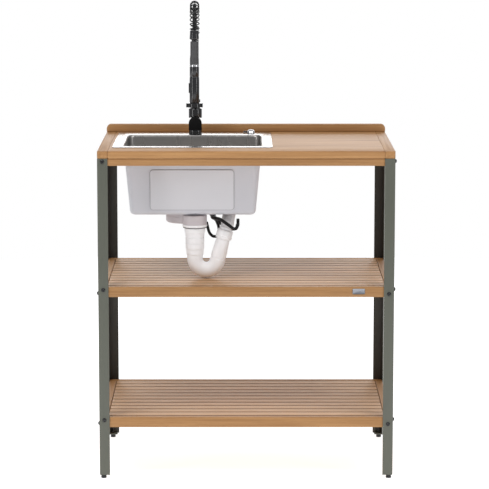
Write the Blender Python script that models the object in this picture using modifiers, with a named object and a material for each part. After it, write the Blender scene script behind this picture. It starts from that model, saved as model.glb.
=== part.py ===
"""Sink and potting bench: hardwood boards and slatted shelves bolted into four steel angle legs, with a
drop-in steel sink, its trap and a sprung pull-down tap.

Metres, Z up. The origin is at the middle of the footprint on the floor, X runs to the right and the front
faces -Y. Each object is one loose piece of the bench."""

import math

import bmesh
import bpy
from mathutils import Matrix, Vector

# ------------------------------------------------------------------ driving dimensions
FIT_GAP = 0.0003             # air left between two pieces that touch

BENCH_WIDTH = 0.800          # over the outer faces of the legs
BENCH_DEPTH = 0.500
WORKTOP_HEIGHT = 0.900       # floor to the top of the boards

BOARD_THICKNESS = 0.020
END_BOARD_WIDTH = 0.028
BOARD_CORNER = 0.005
BOARD_ARRIS = 0.0012
UPSTAND_HEIGHT = 0.022
UPSTAND_THICKNESS = 0.020
UPSTAND_CORNER = 0.013
APRON_HEIGHT = 0.020
RAIL_THICKNESS = 0.020       # aprons and shelf rails

LEG_FLANGE = 0.028
LEG_STEEL = 0.002
FOOT_HEIGHT = 0.010
FOOT_RADIUS = 0.0075
FOOT_INSET = 0.0105          # from the outer faces of the leg to the foot's axis
FOOT_STUD_RADIUS = 0.003
FOOT_STUD_LENGTH = 0.024
FOOT_PLATE = 0.0025

MID_SHELF_TOP = 0.531
LOWER_SHELF_TOP = 0.171
RAIL_HEIGHT = 0.028
SLAT_COUNT = 11
SLAT_GAP = 0.0041
SLAT_THICKNESS = 0.012
BATTEN_WIDTH = 0.020
BATTEN_HEIGHT = 0.013
BATTEN_INSET = 0.001         # from the slats' ends to the end battens

BOLT_HEAD_RADIUS = 0.0048
BOLT_HEAD_HEIGHT = 0.0042
BOLT_RADIUS = 0.003
BOLT_LENGTH = 0.017
BOLT_EDGE = 0.014            # from the leg's outer edge to a bolt
BOLT_HIGH = 0.008            # below a shelf's top, or below the worktop's underside
BOLT_LOW = 0.019             # the bolts of the other flange, so that the shanks pass each other

PLATE_SIZE = (0.033, 0.015)  # blank name plate
PLATE_THICKNESS = 0.001
PLATE_CENTRE_X = 0.304
PLATE_LIFT = 0.0015          # above the middle of the rail

SINK_CENTRE_X = -0.146
SINK_STEEL = 0.001
RIM_SIZE = (0.436, 0.380)
RIM_CENTRE_Y = 0.015
RIM_RISE = 0.0020            # height of the pressed rim over its lip
RIM_CORNER = 0.014
CUTOUT_MARGIN = 0.014        # rim's lip that rests on the worktop
BOWL_SIZE = (0.384, 0.285)
BOWL_CENTRE_Y = -0.0075
BOWL_DEPTH = 0.189           # from the worktop's top to the bowl's floor
BOWL_DRAFT = 0.0155          # how far each wall leans in from top to bottom
MOUTH_ROLL = 0.0050          # the rolled edge between the rim and the wall: its width
MOUTH_DROP = 0.0090          # and its height
BOWL_CORNER = 0.024
BOWL_FLOOR_ROLL = 0.012

PAD_SIZE = (0.230, BOWL_DEPTH - 0.076)    # sound pad on the front of the bowl
PAD_THICKNESS = 0.0015
PAD_CORNER = 0.009
PAD_DROP = 0.063 + PAD_SIZE[1] / 2       # from the worktop's top to the middle of the pad

WASTE_X = -0.166
WASTE_Y = -0.056
WASTE_HOLE = 0.040           # radius of the hole in the bowl
WASTE_FLANGE = 0.044
WASTE_BODY_RADIUS = 0.0555
WASTE_BODY_HEIGHT = 0.0266
WASTE_BORE = 0.032
PLUG_RADIUS = 0.0358
CUP_OFFSET = (0.025, -0.047)
CUP_RADIUS = 0.033
CUP_HEIGHT = 0.027
CUP_DROP = 0.009             # how far the cup hangs below the flat body

TRAP_WALL = 0.0025
TRAP_BORE = 0.018            # radius of the water's way through the cup and the nuts
TRAP_RADIUS = 0.0215
TRAP_BEND = 0.031            # radius of the centre line of the bend
TRAP_CLEARANCE = 0.002       # between the bend and the shelf under it
TRAP_LEAN = math.radians(15.0)
TRAP_LIMB = 0.066            # length of the leaning limb
UPPER_NUT = (0.0293, 0.0149)  # radius and height
LOWER_NUT = (0.0258, 0.0460)
TRAP_INSERT = 0.027          # how far the bend's inlet goes into the lower nut
OUTLET_RADIUS = 0.018
OUTLET_END = 0.020           # from the back of the bench to the outlet's end
CUFF_RADIUS = 0.0225
CUFF_LENGTH = 0.026
OUTLET_CLEARANCE = 0.006     # between the outlet and the bowl over it

TAP_X = -0.144
TAP_Y = 0.166
TAP_RADIUS = 0.0185
TAP_BASE_HEIGHT = 0.0115
TAP_NECK_RADIUS = 0.0120
TAP_SHANK_RADIUS = 0.0160
TAP_SHANK_LENGTH = 0.050
NUT_RADIUS = 0.0215
NUT_HEIGHT = 0.0080
LEVER_ARCH_CENTRE = 0.0315   # above the tap's base
LEVER_THICKNESS = 0.0090
LEVER_RING_HEIGHT = 0.0060
LEVER_PIN_RISE = 0.0010       # the lever's pin over its lower edge, at its rear face
SLEEVE_LOW = 0.0450          # above the tap's base
SLEEVE_TOP = 0.0712
ARCH_CLEARANCE = 0.0013      # between the lever's arch and the sleeve over it
RISER_RADIUS = 0.0100
RISER_TOP = 0.2900
SPOUT_REACH = 0.118
SPOUT_TOP = 0.3830           # above the worktop, to the outside of the arch
SPRING_RADIUS = 0.0130
DOCK_LOW = 0.0890            # the docking arm's underside above the worktop
DOCK_HEIGHT = 0.0120
DOCK_RING = 0.0190
DOCK_HALF_EARS = 0.0230
DOCK_BAR = 0.0120
DOCK_CLEARANCE = 0.0008      # round the spray head and its button as they slide through the ring
HEAD_RADIUS = 0.0135
HEAD_LOW = 0.0880            # the spray face above the worktop
HEAD_TOP = 0.3040            # top of the head's upper collar above the worktop
BUTTON_LOW = 0.1290
BUTTON_HEIGHT = 0.0280
BUTTON_WIDTH = 0.0090
BUTTON_PROUD = 0.0025
BUTTON_DEPTH = 0.0060

KNOB_X = 0.014
KNOB_Y = 0.170
KNOB_RADIUS = 0.0115
KNOB_HEIGHT = 0.0110
KNOB_POINTER = (0.022, 0.006, 0.005)  # reach from the axis, width and height
KNOB_STEM = 0.0075
KNOB_STEM_LENGTH = 0.026
CABLE_RADIUS = 0.0035
PIPE_RADIUS = 0.0045

# ------------------------------------------------------------------ worked-out sizes
HALF_WIDTH = BENCH_WIDTH / 2
HALF_DEPTH = BENCH_DEPTH / 2
BOARD_UNDERSIDE = WORKTOP_HEIGHT - BOARD_THICKNESS
INNER_WIDTH = HALF_WIDTH - LEG_STEEL - FIT_GAP      # half, inside the legs' flanges
INNER_DEPTH = HALF_DEPTH - LEG_STEEL - FIT_GAP
RIM_TOP = WORKTOP_HEIGHT + FIT_GAP + SINK_STEEL + RIM_RISE / 2
BOWL_FLOOR = WORKTOP_HEIGHT - BOWL_DEPTH
WASTE_TOP = BOWL_FLOOR - SINK_STEEL - 2 * FIT_GAP   # top of the flat waste body
TAP_SEAT = RIM_TOP + FIT_GAP
HEAD_Y = TAP_Y - SPOUT_REACH
CUP_X = WASTE_X + CUP_OFFSET[0]
CUP_Y = WASTE_Y + CUP_OFFSET[1]
CUP_LOW = WASTE_TOP - WASTE_BODY_HEIGHT - CUP_DROP

FINISHES = {                 # colour, roughness, metallic
    "wood": ((0.52, 0.26, 0.11), 0.55, 0.0),
    "slat_wood": ((0.50, 0.35, 0.26), 0.60, 0.0),
    "green_steel": ((0.14, 0.15, 0.125), 0.50, 0.2),
    "black_steel": ((0.012, 0.012, 0.013), 0.35, 0.6),
    "steel": ((0.60, 0.60, 0.62), 0.30, 1.0),
    "grey_coat": ((0.56, 0.55, 0.58), 0.55, 0.1),
    "white_plastic": ((0.80, 0.78, 0.78), 0.40, 0.0),
    "black_satin": ((0.014, 0.014, 0.016), 0.32, 0.3),
    "chrome": ((0.75, 0.75, 0.77), 0.10, 1.0),
    "black_rubber": ((0.015, 0.015, 0.015), 0.60, 0.0),
}

# ------------------------------------------------------------------ an empty scene with two collections
for item in list(bpy.data.objects):
    bpy.data.objects.remove(item, do_unlink=True)
PARTS = bpy.data.collections.new("potting_bench")
CUTTERS = bpy.data.collections.new("cutters")
bpy.context.scene.collection.children.link(PARTS)
bpy.context.scene.collection.children.link(CUTTERS)


# ------------------------------------------------------------------ shared modelling steps
def finish_mesh(mesh, name, finish):
    """Give a mesh its own Principled material."""
    colour, roughness, metallic = FINISHES[finish]
    material = bpy.data.materials.new(name + "_" + finish)
    material.use_nodes = True
    shader = material.node_tree.nodes["Principled BSDF"]
    shader.inputs["Base Color"].default_value = (*colour, 1.0)
    shader.inputs["Roughness"].default_value = roughness
    shader.inputs["Metallic"].default_value = metallic
    mesh.materials.append(material)


def add_part(name, mesh, finish=None, place=(0.0, 0.0, 0.0), parent=None):
    """Add a piece of the bench; a mesh that already has its material is shared."""
    if finish:
        finish_mesh(mesh, name, finish)
    part = bpy.data.objects.new(name, mesh)
    part.location = place
    part.parent = parent
    PARTS.objects.link(part)
    return part


def add_cutter(name, mesh, place=(0.0, 0.0, 0.0), parent=None):
    """Add a shape that only cuts or joins other shapes."""
    cutter = bpy.data.objects.new(name, mesh)
    cutter.location = place
    cutter.parent = parent
    cutter.hide_render = True
    cutter.display_type = "WIRE"
    CUTTERS.objects.link(cutter)
    return cutter


def apply_boolean(part, operation, tools):
    """Cut or join a part with each tool in turn."""
    for tool in tools:
        boolean = part.modifiers.new(tool.name, "BOOLEAN")
        boolean.operation = operation
        boolean.solver = "EXACT"
        boolean.object = tool


def mesh_of(bm, name):
    """Turn a bmesh into a mesh and free it."""
    bmesh.ops.recalc_face_normals(bm, faces=bm.faces)
    mesh = bpy.data.meshes.new(name)
    bm.to_mesh(mesh)
    bm.free()
    return mesh


def boxes(name, corners):
    """One mesh of boxes, each from its lowest and highest corner."""
    bm = bmesh.new()
    for low, high in corners:
        size = Vector(high) - Vector(low)
        middle = (Vector(high) + Vector(low)) / 2
        shape = Matrix.Translation(middle) @ Matrix.Diagonal((*size, 1.0))
        bmesh.ops.create_cube(bm, size=1.0, matrix=shape)
    return mesh_of(bm, name)


def rods(name, lines, sides=12):
    """One mesh of round rods, each given as (radius, start, end)."""
    bm = bmesh.new()
    for radius, start, end in lines:
        run = Vector(end) - Vector(start)
        turn = run.to_track_quat("Z", "Y").to_matrix().to_4x4()
        place = Matrix.Translation((Vector(start) + Vector(end)) / 2) @ turn
        bmesh.ops.create_cone(bm, cap_ends=True, segments=sides, radius1=radius, radius2=radius,
                              depth=run.length, matrix=place)
    return mesh_of(bm, name)


def board(name, low, high, finish, arris=BOARD_ARRIS, rounded=()):
    """A planed board, centred on its own origin; rounded lists the (x, y) signs of its rounded corners."""
    size = Vector(high) - Vector(low)
    bm = bmesh.new()
    bmesh.ops.create_cube(bm, size=1.0, matrix=Matrix.Diagonal((*size, 1.0)))
    uprights = []
    for edge in bm.edges:
        middle = (edge.verts[0].co + edge.verts[1].co) / 2
        upright = abs(edge.verts[0].co.z - edge.verts[1].co.z) > size.z / 2
        if upright and (math.copysign(1, middle.x), math.copysign(1, middle.y)) in rounded:
            uprights.append(edge)
    if uprights:
        bmesh.ops.bevel(bm, geom=uprights, offset=BOARD_CORNER, segments=4, profile=0.5,
                        affect="EDGES", clamp_overlap=True)
    part = add_part(name, mesh_of(bm, name), finish, (Vector(low) + Vector(high)) / 2)
    if arris:
        bevel = part.modifiers.new("arris", "BEVEL")
        bevel.width = arris
        bevel.segments = 1
        bevel.limit_method = "ANGLE"
        bevel.angle_limit = math.radians(60.0)
    return part


def turned_mesh(name, profile, closed=False):
    """The profile of a turned shape: (radius, height) points from the top down the outer side."""
    mesh = bpy.data.meshes.new(name)
    points = [(radius, 0.0, height) for radius, height in profile]
    edges = [(index, index + 1) for index in range(len(points) - 1)]
    if closed:
        edges.append((len(points) - 1, 0))
    mesh.from_pydata(points, edges, [])
    return mesh


def turn(part, sides=24):
    """Spin the part's profile about its own Z axis."""
    screw = part.modifiers.new("turn", "SCREW")
    screw.axis = "Z"
    screw.angle = 2 * math.pi
    screw.steps = sides
    screw.render_steps = sides
    screw.use_merge_vertices = True
    screw.merge_threshold = 0.00005
    return part


def turned(name, profile, finish, place, sides=24, closed=False, parent=None):
    """A turned piece."""
    return turn(add_part(name, turned_mesh(name, profile, closed), finish, place, parent), sides)


def arc(centre, radius, start, end, count):
    """Points on an arc from the start angle to the end angle, in degrees."""
    angles = [math.radians(start + (end - start) * index / count) for index in range(count + 1)]
    return [(centre[0] + radius * math.cos(angle), centre[1] + radius * math.sin(angle)) for angle in angles]


def curve_to_mesh(curve, name, weld=0.00002):
    """The mesh of a curve, with its caps joined on; a curve's own faces already point outwards."""
    holder = bpy.data.objects.new(name, curve)
    CUTTERS.objects.link(holder)
    evaluated = holder.evaluated_get(bpy.context.evaluated_depsgraph_get())
    mesh = bpy.data.meshes.new_from_object(evaluated)
    bpy.data.objects.remove(holder, do_unlink=True)
    bm = bmesh.new()
    bm.from_mesh(mesh)
    bmesh.ops.remove_doubles(bm, verts=bm.verts, dist=weld)
    if all(len(edge.link_faces) == 2 for edge in bm.edges):
        bmesh.ops.recalc_face_normals(bm, faces=bm.faces)
    bm.to_mesh(mesh)
    bm.free()
    mesh.name = name
    return mesh


def outline_mesh(name, points, thickness):
    """A flat plate in the XY plane, centred on it, with the given outline."""
    curve = bpy.data.curves.new(name, "CURVE")
    curve.dimensions = "2D"
    curve.fill_mode = "BOTH"
    curve.extrude = thickness / 2
    spline = curve.splines.new("POLY")
    spline.points.add(len(points) - 1)
    for point, (x, y) in zip(spline.points, points):
        point.co = (x, y, 0.0, 1.0)
    spline.use_cyclic_u = True
    return curve_to_mesh(curve, name)


def smooth_route(points, spacing):
    """Points read at an even spacing from a smooth curve through the route's own points."""
    knots = [Vector(point) for point in points]
    knots = [2 * knots[0] - knots[1]] + knots + [2 * knots[-1] - knots[-2]]
    fine = []
    for a, b, c, d in zip(knots, knots[1:], knots[2:], knots[3:]):
        for step in range(20):
            t = step / 20
            fine.append(0.5 * (2 * b + (c - a) * t + (2 * a - 5 * b + 4 * c - d) * t * t
                               + (3 * b - a - 3 * c + d) * t ** 3))
    fine.append(knots[-2])
    length = sum((q - p).length for p, q in zip(fine, fine[1:]))
    count = max(2, round(length / spacing))
    route, travelled, target = [fine[0]], 0.0, length / count
    for p, q in zip(fine, fine[1:]):
        step = (q - p).length
        while travelled + step >= target and len(route) < count:
            route.append(p.lerp(q, (target - travelled) / step))
            target += length / count
        travelled += step
    return route + [fine[-1]]


def tube_mesh(name, points, radius, detail=2, caps=True):
    """A tube along the points."""
    curve = bpy.data.curves.new(name, "CURVE")
    curve.dimensions = "3D"
    curve.bevel_depth = radius
    curve.bevel_resolution = detail
    curve.use_fill_caps = caps
    spline = curve.splines.new("POLY")
    spline.points.add(len(points) - 1)
    for knot, point in zip(spline.points, points):
        knot.co = (*point, 1.0)
    return curve_to_mesh(curve, name)


def hollow(part, wall):
    """Give an open tube its wall, inwards."""
    shell = part.modifiers.new("wall", "SOLIDIFY")
    shell.thickness = wall
    shell.offset = -1.0
    shell.use_even_offset = True


# ------------------------------------------------------------------ legs, feet and bolts
# One corner is modelled at the front left and the other three are that corner turned by quarter turns, so the
# flange with three bolts faces the front, the right, the rear and the left in turn.
def bolt_mesh():
    """A domed screw along Z, its head's underside at the origin."""
    dome = arc((0.0, 0.0), 1.0, 90, 10, 4)
    profile = [(BOLT_HEAD_RADIUS * x, BOLT_HEAD_HEIGHT * y) for x, y in dome]
    profile += [(BOLT_HEAD_RADIUS, 0.0), (BOLT_RADIUS, 0.0), (BOLT_RADIUS, -BOLT_LENGTH), (0.0, -BOLT_LENGTH)]
    profile[0] = (0.0, BOLT_HEAD_HEIGHT)
    mesh = turned_mesh("bolt", profile)
    finish_mesh(mesh, "bolt", "black_steel")
    return mesh


def bolt_places():
    """Name, place and outward direction of a corner's five bolts, in the corner's own frame."""
    places = [("top", (BOLT_EDGE, 0.0, BOARD_UNDERSIDE - BOLT_HIGH), "A")]
    for level, shelf_top in (("mid", MID_SHELF_TOP), ("low", LOWER_SHELF_TOP)):
        places.append((level + "_a", (BOLT_EDGE, 0.0, shelf_top - BOLT_HIGH), "A"))
        places.append((level + "_b", (0.0, BOLT_EDGE, shelf_top - BOLT_LOW), "B"))
    return places


def leg_outline():
    """The L section of a leg, from its outer corner at the origin."""
    return [(0.0, 0.0), (LEG_FLANGE, 0.0), (LEG_FLANGE, LEG_STEEL), (LEG_STEEL, LEG_STEEL),
            (LEG_STEEL, LEG_FLANGE), (0.0, LEG_FLANGE)]


LEG_HEIGHT = BOARD_UNDERSIDE - FIT_GAP - FOOT_HEIGHT
LEG_MESH = outline_mesh("leg", leg_outline(), LEG_HEIGHT)
finish_mesh(LEG_MESH, "leg", "green_steel")
LEG_PLATE_MESH = boxes("leg_plate", [((LEG_STEEL / 2, LEG_STEEL / 2, FOOT_HEIGHT),
                                      (LEG_FLANGE - 0.004, LEG_FLANGE - 0.004, FOOT_HEIGHT + FOOT_PLATE))])
FOOT_AXIS = (FOOT_INSET, FOOT_INSET, 0.0)
FOOT_MESH = turned_mesh("foot", [
    (0.0, FOOT_HEIGHT + FOOT_STUD_LENGTH), (FOOT_STUD_RADIUS, FOOT_HEIGHT + FOOT_STUD_LENGTH),
    (FOOT_STUD_RADIUS, FOOT_HEIGHT - FIT_GAP), (FOOT_RADIUS - 0.001, FOOT_HEIGHT - FIT_GAP),
    (FOOT_RADIUS, FOOT_HEIGHT - 0.0015), (FOOT_RADIUS, 0.0015), (FOOT_RADIUS - 0.001, 0.0), (0.0, 0.0)])
finish_mesh(FOOT_MESH, "foot", "black_rubber")
BOLT_MESH = bolt_mesh()
BORE_DEPTH = BOLT_LENGTH + 0.001
BORE_LINES = [(FOOT_STUD_RADIUS + FIT_GAP, (FOOT_INSET, FOOT_INSET, 0.0),
               (FOOT_INSET, FOOT_INSET, FOOT_HEIGHT + 2 * FOOT_PLATE))]
for _, (x, y, z), flange in bolt_places():
    inwards = Vector((0.0, 1.0, 0.0)) if flange == "A" else Vector((1.0, 0.0, 0.0))
    middle = Vector((x, y, z))
    BORE_LINES.append((BOLT_RADIUS + FIT_GAP, middle - inwards * 0.001, middle + inwards * BORE_DEPTH))
BORE_MESH = rods("bores", BORE_LINES, sides=8)

BORES = {}
CORNERS = (("front_left", -1, -1, 0), ("front_right", 1, -1, 90), ("rear_right", 1, 1, 180),
           ("rear_left", -1, 1, 270))
for corner, side_x, side_y, quarter in CORNERS:
    frame = bpy.data.objects.new("corner_" + corner, None)
    frame.location = (side_x * HALF_WIDTH, side_y * HALF_DEPTH, 0.0)
    frame.rotation_euler = (0.0, 0.0, math.radians(quarter))
    PARTS.objects.link(frame)
    plate = add_cutter("plate_" + corner, LEG_PLATE_MESH, parent=frame)
    BORES[corner] = add_cutter("bores_" + corner, BORE_MESH, parent=frame)
    leg = add_part("leg_" + corner, LEG_MESH, place=(0.0, 0.0, FOOT_HEIGHT + LEG_HEIGHT / 2), parent=frame)
    apply_boolean(leg, "UNION", [plate])
    apply_boolean(leg, "DIFFERENCE", [BORES[corner]])
    turn(add_part("foot_" + corner, FOOT_MESH, place=FOOT_AXIS, parent=frame), 12)
    for label, place, flange in bolt_places():
        outwards = Vector((0.0, -1.0, 0.0)) if flange == "A" else Vector((-1.0, 0.0, 0.0))
        bolt = add_part("bolt_" + corner + "_" + label, BOLT_MESH,
                        place=Vector(place) + outwards * FIT_GAP, parent=frame)
        bolt.rotation_euler = outwards.to_track_quat("Z", "Y").to_euler()
        turn(bolt, 8)

# ------------------------------------------------------------------ worktop, upstand and aprons
BOARD_EDGE = HALF_WIDTH - END_BOARD_WIDTH
worktop = board("worktop_board", (-BOARD_EDGE + FIT_GAP, -HALF_DEPTH, BOARD_UNDERSIDE),
                (BOARD_EDGE - FIT_GAP, HALF_DEPTH, WORKTOP_HEIGHT), "wood")
for side, sign in (("left", -1), ("right", 1)):
    outer, inner = sign * HALF_WIDTH, sign * BOARD_EDGE
    board("worktop_end_" + side, (min(outer, inner), -HALF_DEPTH, BOARD_UNDERSIDE),
          (max(outer, inner), HALF_DEPTH, WORKTOP_HEIGHT), "wood", rounded=((sign, -1), (sign, 1)))

cutout_half = (RIM_SIZE[0] / 2 - CUTOUT_MARGIN, RIM_SIZE[1] / 2 - CUTOUT_MARGIN)
cutout = add_cutter("sink_cutout", boxes("sink_cutout", [(
    (SINK_CENTRE_X - cutout_half[0], RIM_CENTRE_Y - cutout_half[1], BOARD_UNDERSIDE - 0.01),
    (SINK_CENTRE_X + cutout_half[0], RIM_CENTRE_Y + cutout_half[1], WORKTOP_HEIGHT + 0.01))]))
apply_boolean(worktop, "DIFFERENCE", [cutout])

upstand_outline = [(-HALF_WIDTH, 0.0), (HALF_WIDTH, 0.0)]
corner_x = HALF_WIDTH - UPSTAND_CORNER
corner_z = UPSTAND_HEIGHT - UPSTAND_CORNER
upstand_outline += arc((corner_x, corner_z), UPSTAND_CORNER, 0, 90, 6)
upstand_outline += arc((-corner_x, corner_z), UPSTAND_CORNER, 90, 180, 6)
upstand = add_part("rear_upstand", outline_mesh("rear_upstand", upstand_outline, UPSTAND_THICKNESS), "wood",
                   (0.0, HALF_DEPTH - UPSTAND_THICKNESS / 2, WORKTOP_HEIGHT + FIT_GAP))
upstand.rotation_euler = (math.pi / 2, 0.0, 0.0)

APRON_LOW = BOARD_UNDERSIDE - APRON_HEIGHT
APRON_TOP = BOARD_UNDERSIDE - FIT_GAP
RAIL_INNER_X = INNER_WIDTH - RAIL_THICKNESS
RAIL_INNER_Y = INNER_DEPTH - RAIL_THICKNESS
for side, sign in (("front", -1), ("rear", 1)):
    near, far = sorted((sign * INNER_DEPTH, sign * RAIL_INNER_Y))
    apron = board("apron_" + side, (-INNER_WIDTH, near, APRON_LOW), (INNER_WIDTH, far, APRON_TOP), "wood")
    apply_boolean(apron, "DIFFERENCE", [BORES[side + "_left"], BORES[side + "_right"]])
for side, sign in (("left", -1), ("right", 1)):
    near, far = sorted((sign * INNER_WIDTH, sign * RAIL_INNER_X))
    reach = RAIL_INNER_Y - FIT_GAP
    board("apron_" + side, (near, -reach, APRON_LOW), (far, reach, APRON_TOP), "wood")

# ------------------------------------------------------------------ shelves
# Each shelf is a rail frame that the legs are bolted to and a deck of slats screwed to three battens.
def add_shelf(name, top):
    """A rail frame and the slatted deck inside it, both flush at the top."""
    rail_low = top - RAIL_HEIGHT
    frame = add_part(name + "_frame", boxes(name + "_frame", [(
        (-INNER_WIDTH, -INNER_DEPTH, rail_low), (INNER_WIDTH, INNER_DEPTH, top))]), "wood")
    inside = add_cutter(name + "_inside", boxes(name + "_inside", [(
        (-RAIL_INNER_X, -RAIL_INNER_Y, rail_low - 0.01), (RAIL_INNER_X, RAIL_INNER_Y, top + 0.01))]))
    apply_boolean(frame, "DIFFERENCE", [inside] + list(BORES.values()))
    deck_x = RAIL_INNER_X - FIT_GAP
    deck_y = RAIL_INNER_Y - FIT_GAP
    slat_width = (2 * RAIL_INNER_Y - (SLAT_COUNT + 1) * SLAT_GAP) / SLAT_COUNT
    slats = []
    for index in range(SLAT_COUNT):
        start = -RAIL_INNER_Y + SLAT_GAP + index * (slat_width + SLAT_GAP)
        slats.append(((-deck_x, start, top - SLAT_THICKNESS), (deck_x, start + slat_width, top)))
    deck = add_part(name + "_slats", boxes(name + "_slats", slats), "slat_wood")
    batten_top = top - SLAT_THICKNESS + 0.0005
    battens = []
    end_batten = deck_x - BATTEN_INSET - BATTEN_WIDTH / 2
    for middle in (-end_batten, 0.0, end_batten):
        battens.append(((middle - BATTEN_WIDTH / 2, -deck_y, batten_top - BATTEN_HEIGHT),
                        (middle + BATTEN_WIDTH / 2, deck_y, batten_top)))
    apply_boolean(deck, "UNION", [add_cutter(name + "_battens", boxes(name + "_battens", battens))])


add_shelf("mid_shelf", MID_SHELF_TOP)
add_shelf("lower_shelf", LOWER_SHELF_TOP)

plate_half = Vector((PLATE_SIZE[0] / 2, PLATE_THICKNESS / 2, PLATE_SIZE[1] / 2))
plate_middle = Vector((PLATE_CENTRE_X, -INNER_DEPTH - FIT_GAP - PLATE_THICKNESS / 2,
                       MID_SHELF_TOP - RAIL_HEIGHT / 2 + PLATE_LIFT))
board("name_plate", plate_middle - plate_half, plate_middle + plate_half, "chrome", arris=0)


# ------------------------------------------------------------------ sink
def rounded_loop(centre, half, radius, height, count=5):
    """A level rounded rectangle as points, anticlockwise from its right side."""
    loop = []
    for start, (sign_x, sign_y) in zip((0, 90, 180, 270), ((1, 1), (-1, 1), (-1, -1), (1, -1))):
        corner = (centre[0] + sign_x * (half[0] - radius), centre[1] + sign_y * (half[1] - radius))
        loop += [(x, y, height) for x, y in arc(corner, radius, start, start + 90, count)]
    return loop


def sink_loops():
    """The level lines of the pressed steel sheet, from the rim's lip to the waste hole."""
    rim = (SINK_CENTRE_X, RIM_CENTRE_Y)
    bowl = (SINK_CENTRE_X, BOWL_CENTRE_Y)
    rim_half = (RIM_SIZE[0] / 2, RIM_SIZE[1] / 2)
    mouth = (BOWL_SIZE[0] / 2, BOWL_SIZE[1] / 2)
    wall_top = RIM_TOP - MOUTH_DROP
    wall_low = BOWL_FLOOR + BOWL_FLOOR_ROLL
    foot_inset = MOUTH_ROLL + BOWL_DRAFT
    steps = ((0.0, 0.0, RIM_TOP), (0.7 * MOUTH_ROLL, 0.001, RIM_TOP - 0.5 * MOUTH_ROLL),
             (MOUTH_ROLL, 0.002, wall_top), (foot_inset, 0.004, wall_low),
             (foot_inset + 0.3 * BOWL_FLOOR_ROLL, 0.006, BOWL_FLOOR + 0.3 * BOWL_FLOOR_ROLL),
             (foot_inset + BOWL_FLOOR_ROLL, 0.014, BOWL_FLOOR))
    loops = [rounded_loop(rim, rim_half, RIM_CORNER, RIM_TOP - RIM_RISE / 2),
             rounded_loop(rim, (rim_half[0] - 0.0035, rim_half[1] - 0.0035), RIM_CORNER - 0.002, RIM_TOP)]
    for inset, tighter, height in steps:
        loops.append(rounded_loop(bowl, (mouth[0] - inset, mouth[1] - inset), BOWL_CORNER - tighter, height))
    hole = []
    for start in (0, 90, 180, 270):
        hole += [(x, y, BOWL_FLOOR) for x, y in arc((WASTE_X, WASTE_Y), WASTE_HOLE, start + 9, start + 81, 5)]
    return loops + [hole]


def sink_mesh():
    """The sheet of the sink: one skin through its level lines."""
    bm = bmesh.new()
    rings = [[bm.verts.new(point) for point in loop] for loop in sink_loops()]
    for upper, lower in zip(rings, rings[1:]):
        for index in range(len(upper)):
            after = (index + 1) % len(upper)
            bm.faces.new((upper[index], upper[after], lower[after], lower[index]))
    mesh = bpy.data.meshes.new("sink_bowl")
    bm.to_mesh(mesh)
    bm.free()
    return mesh


sink = add_part("sink_bowl", sink_mesh(), "steel")
hollow(sink, SINK_STEEL)
ledge_holes = rods("ledge_holes", [
    (TAP_SHANK_RADIUS + FIT_GAP, (TAP_X, TAP_Y, RIM_TOP - 0.01), (TAP_X, TAP_Y, RIM_TOP + 0.01)),
    (KNOB_STEM + FIT_GAP, (KNOB_X, KNOB_Y, RIM_TOP - 0.01), (KNOB_X, KNOB_Y, RIM_TOP + 0.01))], sides=16)
apply_boolean(sink, "DIFFERENCE", [add_cutter("ledge_holes", ledge_holes)])


def wall_lean():
    """The angle that the bowl's walls lean in by."""
    run = RIM_TOP - MOUTH_DROP - BOWL_FLOOR - BOWL_FLOOR_ROLL
    return math.atan2(BOWL_DRAFT, run)


pad_outline = []
for point in rounded_loop((0.0, 0.0), (PAD_SIZE[0] / 2, PAD_SIZE[1] / 2), PAD_CORNER, 0.0, 4):
    pad_outline.append(point[:2])
pad_drop = PAD_DROP - (WORKTOP_HEIGHT - RIM_TOP + MOUTH_DROP)
pad_wall_y = BOWL_CENTRE_Y - BOWL_SIZE[1] / 2 + MOUTH_ROLL + pad_drop * math.tan(wall_lean())
pad_out = SINK_STEEL + FIT_GAP + PAD_THICKNESS / 2
pad_y = pad_wall_y - pad_out / math.cos(wall_lean())
pad = add_part("sound_pad", outline_mesh("sound_pad", pad_outline, PAD_THICKNESS), "grey_coat",
               (SINK_CENTRE_X - 0.002, pad_y, WORKTOP_HEIGHT - PAD_DROP))
pad.rotation_euler = (math.pi / 2 + wall_lean(), 0.0, 0.0)

# ------------------------------------------------------------------ waste, plug, knob and its cable
waste_low = WASTE_TOP - WASTE_BODY_HEIGHT
flange_low = BOWL_FLOOR + 2 * FIT_GAP
flange_top = flange_low + 0.0016
waste = turned("waste_body", [
    (0.0, waste_low + 0.004), (WASTE_BORE, waste_low + 0.004), (WASTE_BORE, WASTE_TOP - 0.001),
    (PLUG_RADIUS + 0.0005, WASTE_TOP - 0.001), (PLUG_RADIUS + 0.0005, flange_top), (WASTE_FLANGE, flange_top),
    (WASTE_FLANGE, flange_low), (WASTE_HOLE - FIT_GAP - 0.0004, flange_low),
    (WASTE_HOLE - FIT_GAP - 0.0004, WASTE_TOP),
    (WASTE_BODY_RADIUS, WASTE_TOP), (WASTE_BODY_RADIUS, waste_low), (0.0, waste_low)],
    "white_plastic", (WASTE_X, WASTE_Y, 0.0), sides=32)
cup_foot = Vector((CUP_X, CUP_Y, CUP_LOW))
cup_rise = Vector((0.0, 0.0, CUP_HEIGHT))
cup = add_cutter("cup", rods("cup", [(CUP_RADIUS, cup_foot, cup_foot + cup_rise)], sides=24))
passage_rods = [(TRAP_BORE, cup_foot - cup_rise, cup_foot + 0.85 * cup_rise)]
passage = add_cutter("passage", rods("passage", passage_rods, sides=16))
apply_boolean(waste, "UNION", [cup])
apply_boolean(waste, "DIFFERENCE", [passage])

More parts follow.
